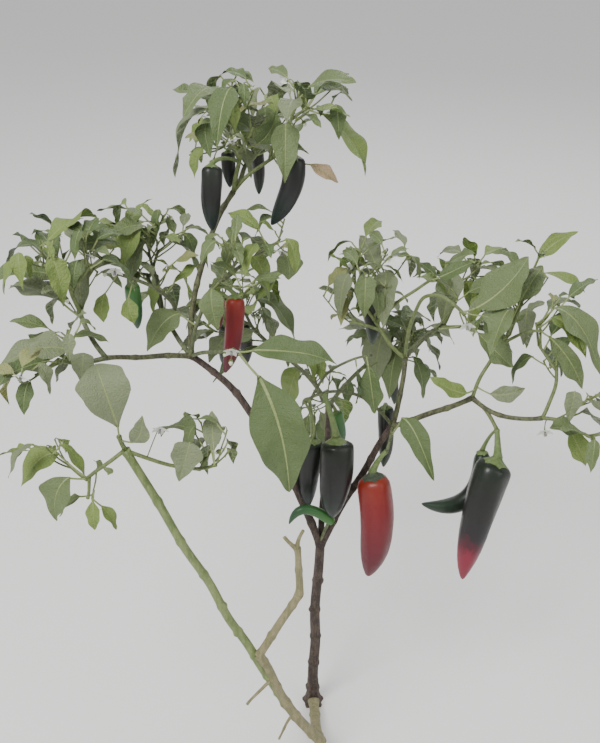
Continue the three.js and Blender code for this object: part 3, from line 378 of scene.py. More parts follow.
def skin_effect():
    """Two colours in soft patches with fine flecks, and the small relief that goes with them."""
    colours = dict.fromkeys(("Main", "Patch", "Fleck"), "Color")
    numbers = dict.fromkeys(("Grain", "Stretch", "Flecks"), "Float")
    tree = new_effect("plant_skin", {**colours, **numbers}, dict(Color="Color", Relief="Float"))
    given, result = effect_ends(tree)
    place = outputs_of(tree, "TexCoord", {})["Object"]
    squeeze = outputs_of(tree, "CombineXYZ", {"X": 1, "Y": 1, "Z": given["Stretch"]})["Vector"]
    place = outputs_of(tree, "VectorMath", {0: place, 1: squeeze}, operation="MULTIPLY")["Vector"]
    broad = outputs_of(tree, "TexNoise", {"Vector": place, "Scale": given["Grain"], "Detail": 3})["Fac"]
    finer = worked_out(tree, "MULTIPLY", given["Grain"], FLECK_FINENESS)
    fine = outputs_of(tree, "TexNoise", {"Vector": place, "Scale": finer, "Detail": 2})["Fac"]
    patched = laid_over(tree, mapped(tree, broad, PATCH_EDGES), given["Main"], given["Patch"])
    flecks = worked_out(tree, "MULTIPLY", mapped(tree, fine, FLECK_EDGES), given["Flecks"])
    colour = laid_over(tree, flecks, patched, given["Fleck"])
    feed(tree, result, {"Color": colour, "Relief": worked_out(tree, "ADD", broad, fine)})
    return tree


plant_skin = skin_effect()


def plain_skin(tree, skin):
    return skin["Color"]


def skinned(name, main, patch, fleck, grain, stretch=1.0, flecks=0.5, rough=0.5, bump=0.3, colour=plain_skin):
    """A finish with the plant's mottled skin. bump is the height of its relief in millimetres."""
    finish = bpy.data.materials.new(name)
    finish.use_nodes = True
    tree = finish.node_tree
    colours = {"Main": (*main, 1), "Patch": (*patch, 1), "Fleck": (*fleck, 1)}
    looks = {**colours, "Grain": grain, "Stretch": stretch, "Flecks": flecks}
    skin = outputs_of(tree, "Group", looks, node_tree=plant_skin)
    uneven = mapped(tree, skin["Relief"], SHINE_FROM, (rough - SHINE_SPREAD, rough + SHINE_SPREAD), "LINEAR")
    raised = outputs_of(tree, "Bump", {"Height": skin["Relief"], "Distance": bump * MM})["Normal"]
    surface = {"Base Color": colour(tree, skin), "Roughness": uneven, "Normal": raised}
    feed(tree, tree.nodes["Principled BSDF"], surface)
    return finish


dark_bark = skinned(
    "dark_bark", (0.03, 0.018, 0.014), (0.08, 0.056, 0.042), (0.18, 0.15, 0.115),
    grain=260, stretch=0.3, flecks=0.55, rough=0.78, bump=0.9,
)
olive_bark = skinned(
    "olive_bark", (0.048, 0.046, 0.02), (0.11, 0.12, 0.05), (0.25, 0.27, 0.17),
    grain=280, stretch=0.4, flecks=0.55, rough=0.66, bump=0.6,
)
green_rind = skinned(
    "green_rind", (0.11, 0.155, 0.042), (0.185, 0.23, 0.078), (0.32, 0.36, 0.18),
    grain=170, stretch=0.25, bump=0.4,
)
pale_rind = skinned(
    "pale_rind", (0.165, 0.155, 0.068), (0.245, 0.215, 0.112), (0.39, 0.345, 0.215),
    grain=220, stretch=0.3, rough=0.62, bump=0.5,
)
LIMB_PIECES = {  # which bark it gathers, its slot, finish, sides and the share of the ridges' depth
    "trunk_and_boughs": ("dark", "dark_bark", dark_bark, 24, 1.0),
    "side_limbs": ("olive", "olive_bark", olive_bark, 16, 0.8),
    "green_front_stem": ("green", "green_stem", green_rind, 22, 0.6),
    "pale_front_stem": ("pale", "green_stem", pale_rind, 20, 0.8),
}
for piece_name, (bark, slot, finish, sides, relief) in LIMB_PIECES.items():
    gathered = Gathering()
    names = [name for name, limb in LIMBS.items() if limb["bark"] == bark]
    for name in names:
        dice = random_stream(BARK_SEEDS, list(LIMBS).index(name), warm_up=0)
        foot = FLARE if name == "trunk" else ()
        gathered.add(*bark_tube(LIMBS[name]["route"], LIMBS[name]["radii"], sides, relief, dice, foot))
        for bearer, ways, radii in STUBS:
            if bearer == name:
                gathered.add(*bark_tube(route_through(*ways), radii, STUB_SIDES, relief, dice))
    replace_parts(gathered.piece(piece_name, slot, [finish]), *names)

# The twigs: each mass has one stem that leaves its limb's tip and forks by one rule, drawn towards
# the mass's own space. Young green twigs, olive where they leave the wood, carry the rule further
# to thin shoots within the same reach.
MASSES = {  # its limb, the middle and reach of its space, how often its twigs fork, leaves at each tip
    "fork_spur": ("trunk", (8, -34, 322), 46, 0, 0),
    "inner_spur": ("right_bough", (14, -8, 440), 74, 0, 0),
    "right_fork_spur": ("right_bough", (86, -34, 388), 58, 0, 0),
    "left_fork_spur": ("left_bough", (-30, -48, 478), 84, 0, 0),
    "left_red_spur": ("left_bough", (-72, 22, 590), 62, 1, 1),
    "left_back_mass": ("left_bough", (-182, 82, 540), 92, 2, 2),
    "left_outer_mass": ("left_side_limb", (-238, -78, 522), 78, 2, 2),
    "left_outer_upper_mass": ("left_side_limb", (-246, 0, 574), 78, 2, 2),
    "top_left_mass": ("left_rising_limb", (-96, 56, 712), 72, 2, 2),
    "top_right_mass": ("left_rising_limb", (-4, 58, 712), 80, 2, 2),
    "top_back_mass": ("left_rising_limb", (-62, 138, 668), 78, 2, 3),
    "right_front_mass": ("right_side_limb", (176, -72, 440), 70, 0, 0),
    "right_upper_mass": ("right_side_limb", (186, 4, 546), 76, 1, 2),
    "right_outer_mass": ("right_outer_limb", (252, -88, 466), 72, 1, 2),
    "right_outer_upper_mass": ("right_outer_limb", (246, -8, 520), 80, 2, 2),
    "centre_top_mass": ("right_rising_limb", (62, 88, 534), 72, 2, 2),
    "right_arch_mass": ("right_rising_limb", (106, -8, 556), 68, 0, 2),
    "right_back_mass": ("right_rising_limb", (166, 108, 494), 88, 2, 3),
    "front_left_outer_mass": ("front_green_stem", (-228, -142, 444), 70, 1, 1),
    "front_left_upper_mass": ("front_green_stem", (-178, -150, 510), 72, 0, 0),
    "front_left_inner_mass": ("front_green_stem", (-126, -108, 446), 66, 1, 2),
    "back_left_mass": ("back_bough", (-86, 158, 462), 92, 2, 3),
    "back_right_mass": ("back_bough", (92, 172, 420), 86, 2, 3),
    "back_low_mass": ("back_bough", (6, 148, 352), 72, 1, 3),
}
PLAIN_STEM = (2.6, None, None)
STEMS = {  # radius, tip and a place half way along, with None where the rule gives the place
    "fork_spur": (2, (22, -16, 318), None),
    "inner_spur": (1.8, (-12, -4, 441), (37, 2, 447)),
    "right_fork_spur": (2, (74, -17, 386), None),
    "left_fork_spur": (2.1, (-74.5, -32, 514), (-102, -14, 505)),
    "left_red_spur": (2.2, (-88, 6, 576), (-112, 12, 545)),
    "top_left_mass": (2.4, (-74, 63, 688), (-77, 61, 666)),
    "top_right_mass": (2, (-36, 61, 682), (-60, 63, 666)),
    "right_front_mass": (2.2, (180, -52, 436), None),
    "right_upper_mass": (2, (192, -6, 521), (171, -18, 494)),
    "right_outer_mass": (2, None, None),
    "right_outer_upper_mass": (2, None, None),
    "centre_top_mass": (2.2, (61, 58, 506), (77, 50, 482)),
    "right_arch_mass": (2, (146, -6, 541), (108, 20, 547)),
    "front_left_outer_mass": (2, (-213, -138, 439), (-196, -132, 451)),
    "front_left_upper_mass": (2.4, (-181, -127, 479), None),
    "front_left_inner_mass": (2, (-110, -116, 435), (-142, -120, 444)),
}
SIDE_TWIGS = {  # the share of the stem where it leaves, a place half way along, its tip
    "inner_spur": [(0.92, (20, -2, 480), (57, 8, 488))],
    "left_red_spur": [(0.85, (-62, 20, 592), (-38, 32, 602))],
    "left_back_mass": [(0.7, (-150, 28, 545), (-198, 4, 583))],
    "top_right_mass": [(0.8, (-34, 62, 706), (-8, 60, 728))],
    "right_upper_mass": [(0.95, (204, 12, 548), (214, 30, 570)), (0.8, (204, -12, 524), (220, -18, 530))],
    "centre_top_mass": [(0.9, (90, 46, 534), (117, 35, 561)), (0.75, (54, 52, 500), (36, 56, 502))],
}
MASS_NAMES = list(MASSES)
MIDDLES = np.array([middle for _, middle, *_ in MASSES.values()], float)
REACHES = np.array([reach for _, _, reach, *_ in MASSES.values()], float)

GROWTH_SEEDS = (7919, 7919)
LIMB_CLEARANCE = 2.5
SPACE_MARGIN = 0.5
WAY_STEPS = 8
STEM_SHARE, STEM_BEND, STEM_TAPER = 0.62, 0.28, 0.86
TWIG_TAPER = 0.8
TWIG_LENGTH_SHARE, TWIG_LENGTHS, TWIG_SHORTENING = 0.4, (0.85, 1.15), 0.8
TWIG_TRIES = (1, 0.65)  # the share of its length that is tried, and where that has no room, tried next
TWIG_STEPS = 4
TWIG_LIFT = 0.16
NODE_STEP = 4.2  # between the nodes next to a twig's tip
NODE_STEPS, NODE_RANGE = 24, (0.12, 0.97)  # of a stem, for the pods and leaves with a place of their own
FORK_ANGLE, FORK_SPREAD = 36, 10  # in degrees
PULL_TO_SPACE, TARGET_SPREAD = 0.42, 1.5

# What a twig, leaf or pod keeps clear of: the limbs, other masses' stems and stalks, pods and large leaves
blocked = dict(starts=np.zeros((0, 3)), ends=np.zeros((0, 3)), room=np.zeros(0), owner=np.zeros(0, object))


def add_obstacle(owner, route, room, first=0):
    places = route.stretches(WAY_STEPS)[first:]
    each = np.ones(len(places) - 1)
    owners = np.array([owner] * len(each), object)
    found = dict(starts=places[:-1], ends=places[1:], room=room * each, owner=owners)
    for part, values in found.items():
        blocked[part] = np.concatenate([blocked[part], values])


def distances(places, starts, ends):
    """How far each place is from each straight stretch."""
    along = ends - starts
    offset = places[:, None] - starts
    share = np.clip((offset * along).sum(-1) / (along * along).sum(-1), 0, 1)
    return np.linalg.norm(offset - share[..., None] * along, axis=-1)


def in_space(number, places, radius):
    """Whether places lie in a mass's own space: within its reach and on its side of every other mass."""
    squared = ((places[:, None] - MIDDLES) ** 2).sum(-1)
    if np.any(np.sqrt(squared[:, number]) > REACHES[number] - radius):
        return False
    power = squared - REACHES**2
    others = np.arange(len(MASSES)) != number
    apart = np.linalg.norm(MIDDLES - MIDDLES[number], axis=1)[others]
    margin = (power[:, others] - power[:, number][:, None]) / (2 * apart)
    return bool(np.all(margin > SPACE_MARGIN + radius))


def free(mass, places, radius):
    places = np.atleast_2d(places)
    if not in_space(mass["number"], places, radius):
        return False
    near = distances(places, blocked["starts"], blocked["ends"])
    return bool(np.all((blocked["owner"] == mass["name"]) | (near > blocked["room"] + radius)))


def node_place(route, steps):
    return route.at(1 - steps * NODE_STEP / route.length())


def square_to(across, along):
    return unit(across - along * across.dot(along))


def grow_twig(mass, start, heading, length, radius, forks, plane):
    """Grows a twig where there is room for it, and lets it fork on."""
    lifted = unit(heading + UP * TWIG_LIFT)
    for share in TWIG_TRIES:
        grown = Route(start, start + heading * (0.5 * length * share), start + lifted * (length * share))
        if free(mass, grown.stretches(TWIG_STEPS)[1:], radius):
            twig = dict(route=grown, radii=(radius, radius * TWIG_TAPER), forks=forks)
            mass["bearers"].append(twig)
            fork_on(mass, twig, length, plane)
            return


def fork_on(mass, bearer, length, plane):
    """Grows two twigs from a stem or twig, one to each hand, in a plane that turns from fork to fork."""
    if bearer["forks"] == 0:
        return
    draw = mass["draw"]
    along = bearer["route"].heading(1)
    across = square_to(np.array((math.cos(plane), math.sin(plane), 0.0)), along)
    for hand in (1, -1):
        angle = math.radians(FORK_ANGLE + FORK_SPREAD * (draw() - 0.5))
        start = node_place(bearer["route"], 0 if hand > 0 else 1)
        spread = np.array([draw() - 0.5 for _ in range(3)]) * (TARGET_SPREAD * mass["reach"])
        target = unit(spread + MIDDLES[mass["number"]] - start)
        heading = along * math.cos(angle) + across * (hand * math.sin(angle))
        heading = unit(heading + (target - heading) * PULL_TO_SPACE)
        shorter = length * TWIG_SHORTENING * draw_between(TWIG_LENGTHS, draw)
        grow_twig(mass, start, heading, shorter, bearer["radii"][1], bearer["forks"] - 1, plane + math.pi / 2)


for name, limb in LIMBS.items():
    add_obstacle(name, limb["route"], max(limb["radii"]) + LIMB_CLEARANCE)

masses = {}
for number, (name, (limb_name, _, reach, forks, tip_leaves)) in enumerate(MASSES.items()):
    limb = LIMBS[limb_name]
    radius, end, through = STEMS.get(name, PLAIN_STEM)
    start = np.array(limb["tip"], float)
    end = np.array(end, float) if end else start + (MIDDLES[number] - start) * STEM_SHARE
    if through:
        stem = route_through(start, through, end)
    else:
        straight = end - start
        bend = unit(straight) + (limb["route"].heading(1) - unit(straight)) * STEM_BEND
        stem = Route(start, start + unit(bend) * (np.linalg.norm(straight) / 2), end)
    side_twigs = [route_through(stem.at(at), through, tip) for at, through, tip in SIDE_TWIGS.get(name, ())]
    for route in (stem, *side_twigs):
        add_obstacle(name, route, radius + LIMB_CLEARANCE)
    masses[name] = dict(
        name=name, number=number, old_wood=limb["bark"] == "dark", reach=reach, forks=forks,
        tip_leaves=tip_leaves, stem_radius=radius, ways=[stem, *side_twigs], pods=[], foliage=[], shoots=[],
    )


def nearest_node(mass, place):
    """The place on a mass's stem or side twigs where a named pod or leaf has its root."""
    nodes = np.concatenate([route.at(np.linspace(*NODE_RANGE, NODE_STEPS + 1)) for route in mass["ways"]])
    return nodes[np.argmin(np.linalg.norm(nodes - place, axis=1))]


# The ways of the pods and of their hooked stalks, which hang from a stem or twig. They come before
# the twigs fork, because twigs and leaves grow round the pods and keep clear of them.
POD_CLEARANCE = 2.0
STALK_RADIUS, STALK_GROWTH = 0.6, 0.17
STALK_HOOK, STALK_SEAT, STALK_RISE = 0.55, 0.16, 4.7


def bowed_route(start, end, bow):
    return route_through(start, (start + end) / 2 + np.array(bow, float), end)


def pod_route(pod):
    return bowed_route(pod["head"], pod["tip"], pod["bow"])


def stalk_girth(pod):
    return STALK_RADIUS + STALK_GROWTH * pod["radius"]


def stalk_route(pod):
    route = pod_route(pod)
    head = route.at(0) + route.heading(0) * (STALK_SEAT * pod["radius"])
    through = pod["root"] + (head - pod["root"]) * STALK_HOOK + UP * STALK_RISE
    return route_through(pod["root"], through, head)


def new_pod(head, tip, radius, bow, ripe, stem_share=None, taper=0, dull_calyx=False):
    pod = dict(radius=radius, bow=bow, ripe=ripe, stem_share=stem_share, taper=taper, dull_calyx=dull_calyx)
    return {"head": np.array(head, float), "tip": np.array(tip, float), **pod}


def hang_pod(mass, pod, root):
    """Gives a mass a pod with its stalk from a root, and keeps both clear."""
    pod["root"] = root
    mass["pods"].append(pod)
    add_obstacle(mass["name"] + " pod", pod_route(pod), pod["radius"] + POD_CLEARANCE)
    add_obstacle(mass["name"], stalk_route(pod), stalk_girth(pod) + POD_CLEARANCE)


NAMED_PODS = {  # its head and tip, its radius, how far it bows, its ripeness
    "fork_spur": [new_pod((20, -21, 296), (-28, -30, 301), 5.6, (-6, -1, 20), "green")],
    "inner_spur": [
        new_pod((22, -10, 396), (17.5, -24, 306), 18, (2, -3, 0), "dark", stem_share=0.8),
        new_pod((-2, 10, 384), (-8, 2, 300), 13, (-2, 0, 0), "dark", stem_share=0.95),
        new_pod((76, 32, 412), (76.7, 24, 338), 9, (1, 0, 0), "violet"),
    ],
    "right_fork_spur": [
        new_pod((61, -18, 357), (60, -38, 235), 17.5, (6, -2, 0), "red", taper=-0.12, dull_calyx=True),
    ],
    "left_red_spur": [
        new_pod((-80.7, 16, 550.5), (-92.8, 4, 470), 9.5, (3, -3, 0), "red"),
        new_pod((-98, 32, 540), (-100, 28, 506), 6.5, (-1, 0, 0), "red"),
    ],
    "top_left_mass": [
        new_pod((-100, 34, 680), (-102, 24, 618), 10, (0, -2, 0), "dark"),
        new_pod((-88, 88, 676), (-87, 84, 640), 7, (0, 1, 0), "dark"),
    ],
    "top_right_mass": [new_pod((-22, 50, 683), (-44, 38, 618), 11, (7, -2, 0), "dark")],
    "right_front_mass": [
        new_pod((180, -62, 406), (154, -92, 277.5), 19.5, (-5, -3, 3), "turning", taper=0.25),
        new_pod((171, -34, 398.5), (108, -62, 354), 9, (18, 2, -29), "violet", taper=-0.25),
    ],
}
for name, named in NAMED_PODS.items():
    for pod in named:
        mass, at = masses[name], pod["stem_share"]
        hang_pod(mass, pod, mass["ways"][0].at(at) if at else nearest_node(mass, pod["head"]))

# The shape of a leaf: a stalk, a rib that sags from it, and a blade folded along the rib. The large
# leaves that have a place of their own come first, and then the twigs fork round them.
LEAF_FOLD = 0.22
BLADE_STATIONS = ((0.27, 0.9), (0.63, 0.8))  # share of the rib, share of the half width there
RIB_SHARE = 0.44
RIB_BOW = (0.3, 0.22)
PLUMB = 0.1
BLADE_RIM = [0, 3, 5, 2, 6, 4]
LEAF_ROOM_SHARE, LEAF_ROOM_START = 0.3, 3


def turned(vector, axis, angle):
    kept = axis.dot(vector) * (1 - math.cos(angle))
    return vector * math.cos(angle) + np.cross(axis, vector) * math.sin(angle) + axis * kept


def leaf_shape(root, base, tip, width, roll=0, facing=None, bow=None):
    """A leaf's rib and faces, and the coarse places, edges and faces that others keep clear of."""
    stalk = unit(base - root)
    chord = tip - base
    length = np.linalg.norm(chord)
    along = unit(chord)
    outward = np.array((chord[0], chord[1], 0.0))
    if np.linalg.norm(outward) < PLUMB * length:
        outward = np.array((stalk[0], stalk[1], 0.0))
    level = unit(np.cross(unit(outward), UP))
    side = level if facing is None else np.cross(along, np.array(facing, float))
    side = turned(square_to(side, along), along, roll)
    control = base + stalk * (RIB_BOW[0] * length) + along * (RIB_BOW[1] * length)
    leaf = dict(root=root, width=width, length=length, side=side, face=np.cross(side, along))
    leaf["rib"] = Route(base, control, tip) if bow is None else bowed_route(base, tip, bow)
    places = [base, leaf["rib"].at(RIB_SHARE), tip]
    for share, spread in BLADE_STATIONS:
        for hand in (1, -1):
            half = width / 2 * spread
            places.append(leaf["rib"].at(share) + side * (hand * half) + leaf["face"] * (LEAF_FOLD * half))
    leaf["places"] = np.array(places)
    rim = [(places[a], places[b]) for a, b in zip(BLADE_RIM, BLADE_RIM[1:] + BLADE_RIM[:1])]
    leaf["edges"] = np.array([*rim, *((places[a], places[1]) for a in BLADE_RIM), (root, base)])
    leaf["faces"] = np.array([(a, b, places[1]) for a, b in rim])
    return leaf


def hang_leaf(mass, base, tip, width, facing, tint=None, bow=None):
    """Gives a mass a leaf with a place of its own, and keeps its outer half clear."""
    base, tip = np.array(base, float), np.array(tip, float)
    leaf = leaf_shape(nearest_node(mass, base), base, tip, width, facing=facing, bow=bow)
    leaf.update(spray=0, tint=tint)
    mass["foliage"].append(leaf)
    add_obstacle(mass["name"] + " leaf", leaf["rib"], LEAF_ROOM_SHARE * width, LEAF_ROOM_START)


NAMED_LEAVES = {  # its base and tip, its width, where its face looks, its tint, how far it bows
    "inner_spur": [
        ((41, 0, 482), (43, -3, 437), 15, (1, -0.25, 0.1)),
        ((53, 2, 481), (61, -8, 428), 25, (-0.25, -0.95, 0.2)),
    ],
    "right_fork_spur": [((88, -18, 430), (121, -50, 372), 24, (-0.3, -0.8, 0.5))],
    "left_fork_spur": [
        ((-56, -58, 503), (-27, -88, 386), 54, (0.1, -1, 0.25), "deep"),
        ((-63, -37, 519), (20, -44, 513), 34, (0, -0.5, 0.87)),
    ],
    "left_red_spur": [
        ((-101, -8, 572), (-96, -22, 533), 24, (0.1, -0.95, 0.3)),
        ((-32, 27, 596), (-27, 18, 568), 26, (0, -0.9, 0.45)),
        ((-137, 28, 526), (-174, 14, 490), 31, (-0.3, -0.8, 0.5)),
    ],
    "left_back_mass": [
        ((-184, -2, 559), (-178, -12, 535), 17, (0.2, -0.9, 0.4)),
        ((-206, -2, 564), (-209, -12, 536), 16, (-0.1, -0.9, 0.3)),
    ],
    "left_outer_mass": [
        ((-228, -72, 537), (-296, -88, 530), 31, (0, -0.4, 0.9)),
        ((-216, -76, 538), (-219, -90, 514), 22, (0.1, -0.9, 0.4)),
    ],
    "top_left_mass": [
        ((-64, 56, 706), (-93, 46, 721), 20, (-0.2, -0.6, 0.8)),
        ((-57, 51, 695), (-37, 37, 729), 26, (0.3, -0.9, 0.3)),
        ((-103, 50, 716), (-101, 34, 688), 19, (-0.2, -0.9, 0.2)),
    ],
    "top_right_mass": [
        ((4, 54, 724), (51, 44, 669), 33, (0.6, -0.45, 0.5)),
        ((1, 62, 746), (34, 58, 736), 17, (0.2, -0.5, 0.85)),
        ((-8, 44, 678), (21, 38, 662), 14, (0.2, -0.6, 0.8), "dry"),
    ],
    "right_upper_mass": [
        ((226, -22, 527), (263, -36, 475), 21, (-0.5, -0.75, 0.5)),
        ((226, 26, 572), (270, 20, 556), 15, (0.2, -0.4, 0.9)),
        ((222, 44, 578), (262, 54, 606), 17, (-0.3, -0.7, 0.7)),
        ((150, -36, 470), (110, -42, 493), 17, (0.3, -0.8, 0.6)),
        ((172, -34, 468), (206, -38, 477), 17, (-0.1, -0.8, 0.6)),
    ],
    "right_outer_mass": [
        ((241, -84, 501), (236, -94, 470), 16, (-0.2, -0.9, 0.3)),
        ((240, -88, 462), (258, -104, 430), 23, (0.2, -0.8, 0.5)),
    ],
    "centre_top_mass": [((122, 32, 564), (154, 26, 585), 16, (-0.2, -0.7, 0.7))],
    "right_arch_mass": [
        ((154, -8, 549), (203, 0, 601), 42, (-0.45, -0.65, 0.6)),
        ((160, -14, 545), (190, -32, 547), 22, (0, -0.4, 0.9)),
        ((159, -12, 525), (194, -31, 497), 26, (0.4, -0.6, 0.7)),
    ],
    "front_left_outer_mass": [
        ((-226, -144, 446), (-243, -156, 404), 31, (-0.3, -0.9, 0.2)),
        ((-236, -132, 464), (-274, -142, 434), 27, (-0.3, -0.7, 0.6)),
    ],
    "front_left_upper_mass": [
        ((-180, -131, 491), (-200, -104, 542), 46, (0.1, -1, 0.3), None, (1, -16, 21)),
        ((-170, -130, 474), (-157, -134, 506), 18, (0.1, -1, 0.2)),
    ],
    "front_left_inner_mass": [((-117, -126, 472), (-128, -138, 436), 29, (0.1, -0.9, 0.35))],
}
for name, named in NAMED_LEAVES.items():
    for leaf in named:
        hang_leaf(masses[name], *leaf)

for mass in masses.values():
    mass["draw"] = random_stream(GROWTH_SEEDS, mass["number"])
    thick, thin = mass["stem_radius"], mass["stem_radius"] * STEM_TAPER
    stem, *side_twigs = mass["ways"]
    stem = dict(route=stem, radii=(thick, thin), forks=mass["forks"])
    side_twigs = [dict(route=route, radii=(thin, thin * TWIG_TAPER), forks=0) for route in side_twigs]
    mass["bearers"] = [stem, *side_twigs]
    length = mass["reach"] * TWIG_LENGTH_SHARE / TWIG_SHORTENING
    fork_on(mass, stem, length, mass["draw"]() * math.pi)

# The places of the small pods, which hang free below a fork, and then of the leaves at the nodes,
# each the best placed of several drawn. Thin shoots with small leaves carry the rule on.
WILD_PODS = dict(
    left_back_mass=1, top_back_mass=1, centre_top_mass=1, back_left_mass=2, back_right_mass=1, back_low_mass=1
)
WILD_POD_LENGTH, WILD_POD_LENGTHS, WILD_POD_GIRTHS = 66, (0.75, 1.25), (0.12, 0.16)
WILD_POD_REACH, WILD_POD_DROP, WILD_POD_SPLAY, WILD_POD_BOW = 13, 14, 0.12, 2
WILD_POD_TESTS = (0.08, 0.35, 0.6, 0.9)
WILD_POD_TRIES, WILD_POD_NODE = 5, 2.5
LEAF_LENGTH, LEAF_LENGTHS, LEAF_WIDTH_SHARE = 74, (0.7, 1.25), 0.47
LEAF_DROOPS, LEAF_ROLLS = (0.2, 0.75), (-0.45, 0.45)
LEAF_SPACING, LEAF_CANDIDATES, LEAF_TRY_SHORTENING = 7, 9, 0.05
PETIOLE_SHARE, PETIOLE_RADIUS, PETIOLE_LIFT, PETIOLE_FOLLOW = 0.36, 0.85, 0.35, 0.75
PETIOLE_TESTS = (0.2, 0.6)
OWN_CLEARANCE = 3
AT_FORK, AT_TIP = (2, 1), 0.5  # the first node with a leaf, and at a fork how many leaves


def any_heading(draw, rise=0.0):
    turn = draw() * TURN
    return np.array((math.cos(turn), math.sin(turn), rise))


def add_wild_pod(mass, root):
    draw = mass["draw"]
    out = any_heading(draw)
    length = WILD_POD_LENGTH * draw_between(WILD_POD_LENGTHS, draw)
    radius = length * draw_between(WILD_POD_GIRTHS, draw)
    head = root + out * WILD_POD_REACH - UP * WILD_POD_DROP
    tip = head + out * (WILD_POD_SPLAY * length) - UP * length
    pod = new_pod(head, tip, radius, out * WILD_POD_BOW, ripe=None)
    if free(mass, pod_route(pod).at(WILD_POD_TESTS), radius):
        hang_pod(mass, pod, root)


for name, wanted in WILD_PODS.items():
    for bearer in masses[name]["bearers"]:
        for _ in range(WILD_POD_TRIES):
            if len(masses[name]["pods"]) < wanted:
                add_wild_pod(masses[name], node_place(bearer["route"], WILD_POD_NODE))


def strikes(edges, faces):
    """Whether any edge runs through any face."""
    start, along = edges[:, None, 0], edges[:, None, 1] - edges[:, None, 0]
    corner = faces[None, :, 0]
    first, second = faces[None, :, 1] - corner, faces[None, :, 2] - corner
    normal = np.cross(first, second)
    facing = (along * normal).sum(-1)
    sign, depth = np.sign(facing), np.abs(facing)
    offset = start - corner
    u = sign * (along * np.cross(offset, second)).sum(-1)
    v = sign * (along * np.cross(first, offset)).sum(-1)
    t = -sign * (offset * normal).sum(-1)
    return bool(np.any((depth > 0) & (u >= 0) & (v >= 0) & (u + v <= depth) & (t >= 0) & (t < depth)))


def all_of(mass, part):
    return np.concatenate([leaf[part] for leaf in mass["foliage"]])


def crosses_any(mass, leaf):
    if not mass["foliage"]:
        return False
    return strikes(leaf["edges"], all_of(mass, "faces")) or strikes(all_of(mass, "edges"), leaf["faces"])


def room_round(mass, places):
    if not mass["foliage"]:
        return math.inf
    return float(np.linalg.norm(places[:, None] - all_of(mass, "places"), axis=-1).min())


def add_leaf(mass, draw, bearer, steps, size, spacing, candidates, spray, reaches=None):
    """Hangs the best placed of several drawn leaves at a node, some steps back from a twig's tip."""
    root, heading = node_place(bearer["route"], steps), bearer["route"].heading(1)
    best, best_room = None, spacing
    for tries in range(candidates):
        stalk = unit(any_heading(draw, PETIOLE_LIFT))
        stalk = unit(stalk + heading * PETIOLE_FOLLOW)
        length = size * draw_between(LEAF_LENGTHS, draw) * (1 - LEAF_TRY_SHORTENING * tries)
        droop = draw_between(LEAF_DROOPS, draw)
        roll = draw_between(LEAF_ROLLS, draw)
        base = root + stalk * (length * PETIOLE_SHARE)
        chord = unit(stalk * (1 - droop) - UP * droop)
        leaf = leaf_shape(root, base, base + chord * length, length * LEAF_WIDTH_SHARE, roll)
        petiole = [root + (base - root) * share for share in PETIOLE_TESTS]
        if not free(mass, np.concatenate([petiole, leaf["places"]]), PETIOLE_RADIUS):
            continue
        if distances(leaf["places"], mass["way_starts"], mass["way_ends"]).min() <= OWN_CLEARANCE:
            continue
        if reaches and not reaches(leaf["places"]):
            continue
        room = room_round(mass, leaf["places"])
        if room > best_room and not crosses_any(mass, leaf):
            best, best_room = leaf, room
    if best:
        best.update(spray=spray, tint=None)
        mass["foliage"].append(best)


def keep_clear_of(mass, bearers):
    ways = [bearer["route"].stretches(TWIG_STEPS) for bearer in bearers]
    mass["way_starts"] = np.concatenate([way[:-1] for way in ways])
    mass["way_ends"] = np.concatenate([way[1:] for way in ways])


for mass in masses.values():
    keep_clear_of(mass, mass["bearers"])
    for spray, bearer in enumerate(mass["bearers"]):
        first, wanted = AT_FORK if bearer["forks"] > 0 else (AT_TIP, mass["tip_leaves"])
        habit = (LEAF_LENGTH, LEAF_SPACING, LEAF_CANDIDATES, spray)
        for step in range(wanted):
            add_leaf(mass, mass["draw"], bearer, first + step, *habit)

SHOOT_SEEDS = (7920, 7919)
SHOOTS = {True: (3, 1), False: (0, 3)}  # by whether its twig forks: first node, shoots
SHOOT_RADIUS, SHOOT_TAPER = 0.95, 0.7
SHOOT_LENGTHS, SHOOT_ANGLE, SHOOT_RISE, SHOOT_LIFT = (20, 46), 0.75, 0.15, 0.3
SHOOT_LEAVES = ((0.2, 42.0), (1.2, 35.7), (2.4, 35.7))  # steps back from its tip, length
SHOOT_LEAF_SPACING, SHOOT_LEAF_CANDIDATES = 4, 6
OVERREACH = 3
DOME_MIDDLE, DOME_REACH, DOME_FOOT = np.array((-45.0, 75.0, 615.0)), 150.0, 690.0  # the crown's round top


def within_reach(places):
    """Whether places lie in the box that the solids fill, but for a few millimetres, and under the dome."""
    least, most = np.floor(np.array(cad_box[0]) / MM), np.ceil(np.array(cad_box[1]) / MM)
    inside = np.all((places > least - OVERREACH) & (places < most + OVERREACH), axis=1)
    under = np.linalg.norm(places - DOME_MIDDLE, axis=1) < DOME_REACH
    return bool(np.all(inside & (under | (places[:, 2] < DOME_FOOT))))


def grow_shoot(mass, draw, start, along, spray):
    across = square_to(any_heading(draw, SHOOT_RISE), along)
    heading = unit(along * math.cos(SHOOT_ANGLE) + across * math.sin(SHOOT_ANGLE))
    length = draw_between(SHOOT_LENGTHS, draw)
    route = Route(start, start + heading * (length / 2), start + unit(heading + UP * SHOOT_LIFT) * length)
    places = route.stretches(TWIG_STEPS)[1:]
    if room_round(mass, places) < OWN_CLEARANCE:
        return
    if free(mass, places, SHOOT_RADIUS) and within_reach(places):
        radii = (SHOOT_RADIUS, SHOOT_RADIUS * SHOOT_TAPER)
        mass["shoots"].append(dict(route=route, radii=radii, spray=spray))


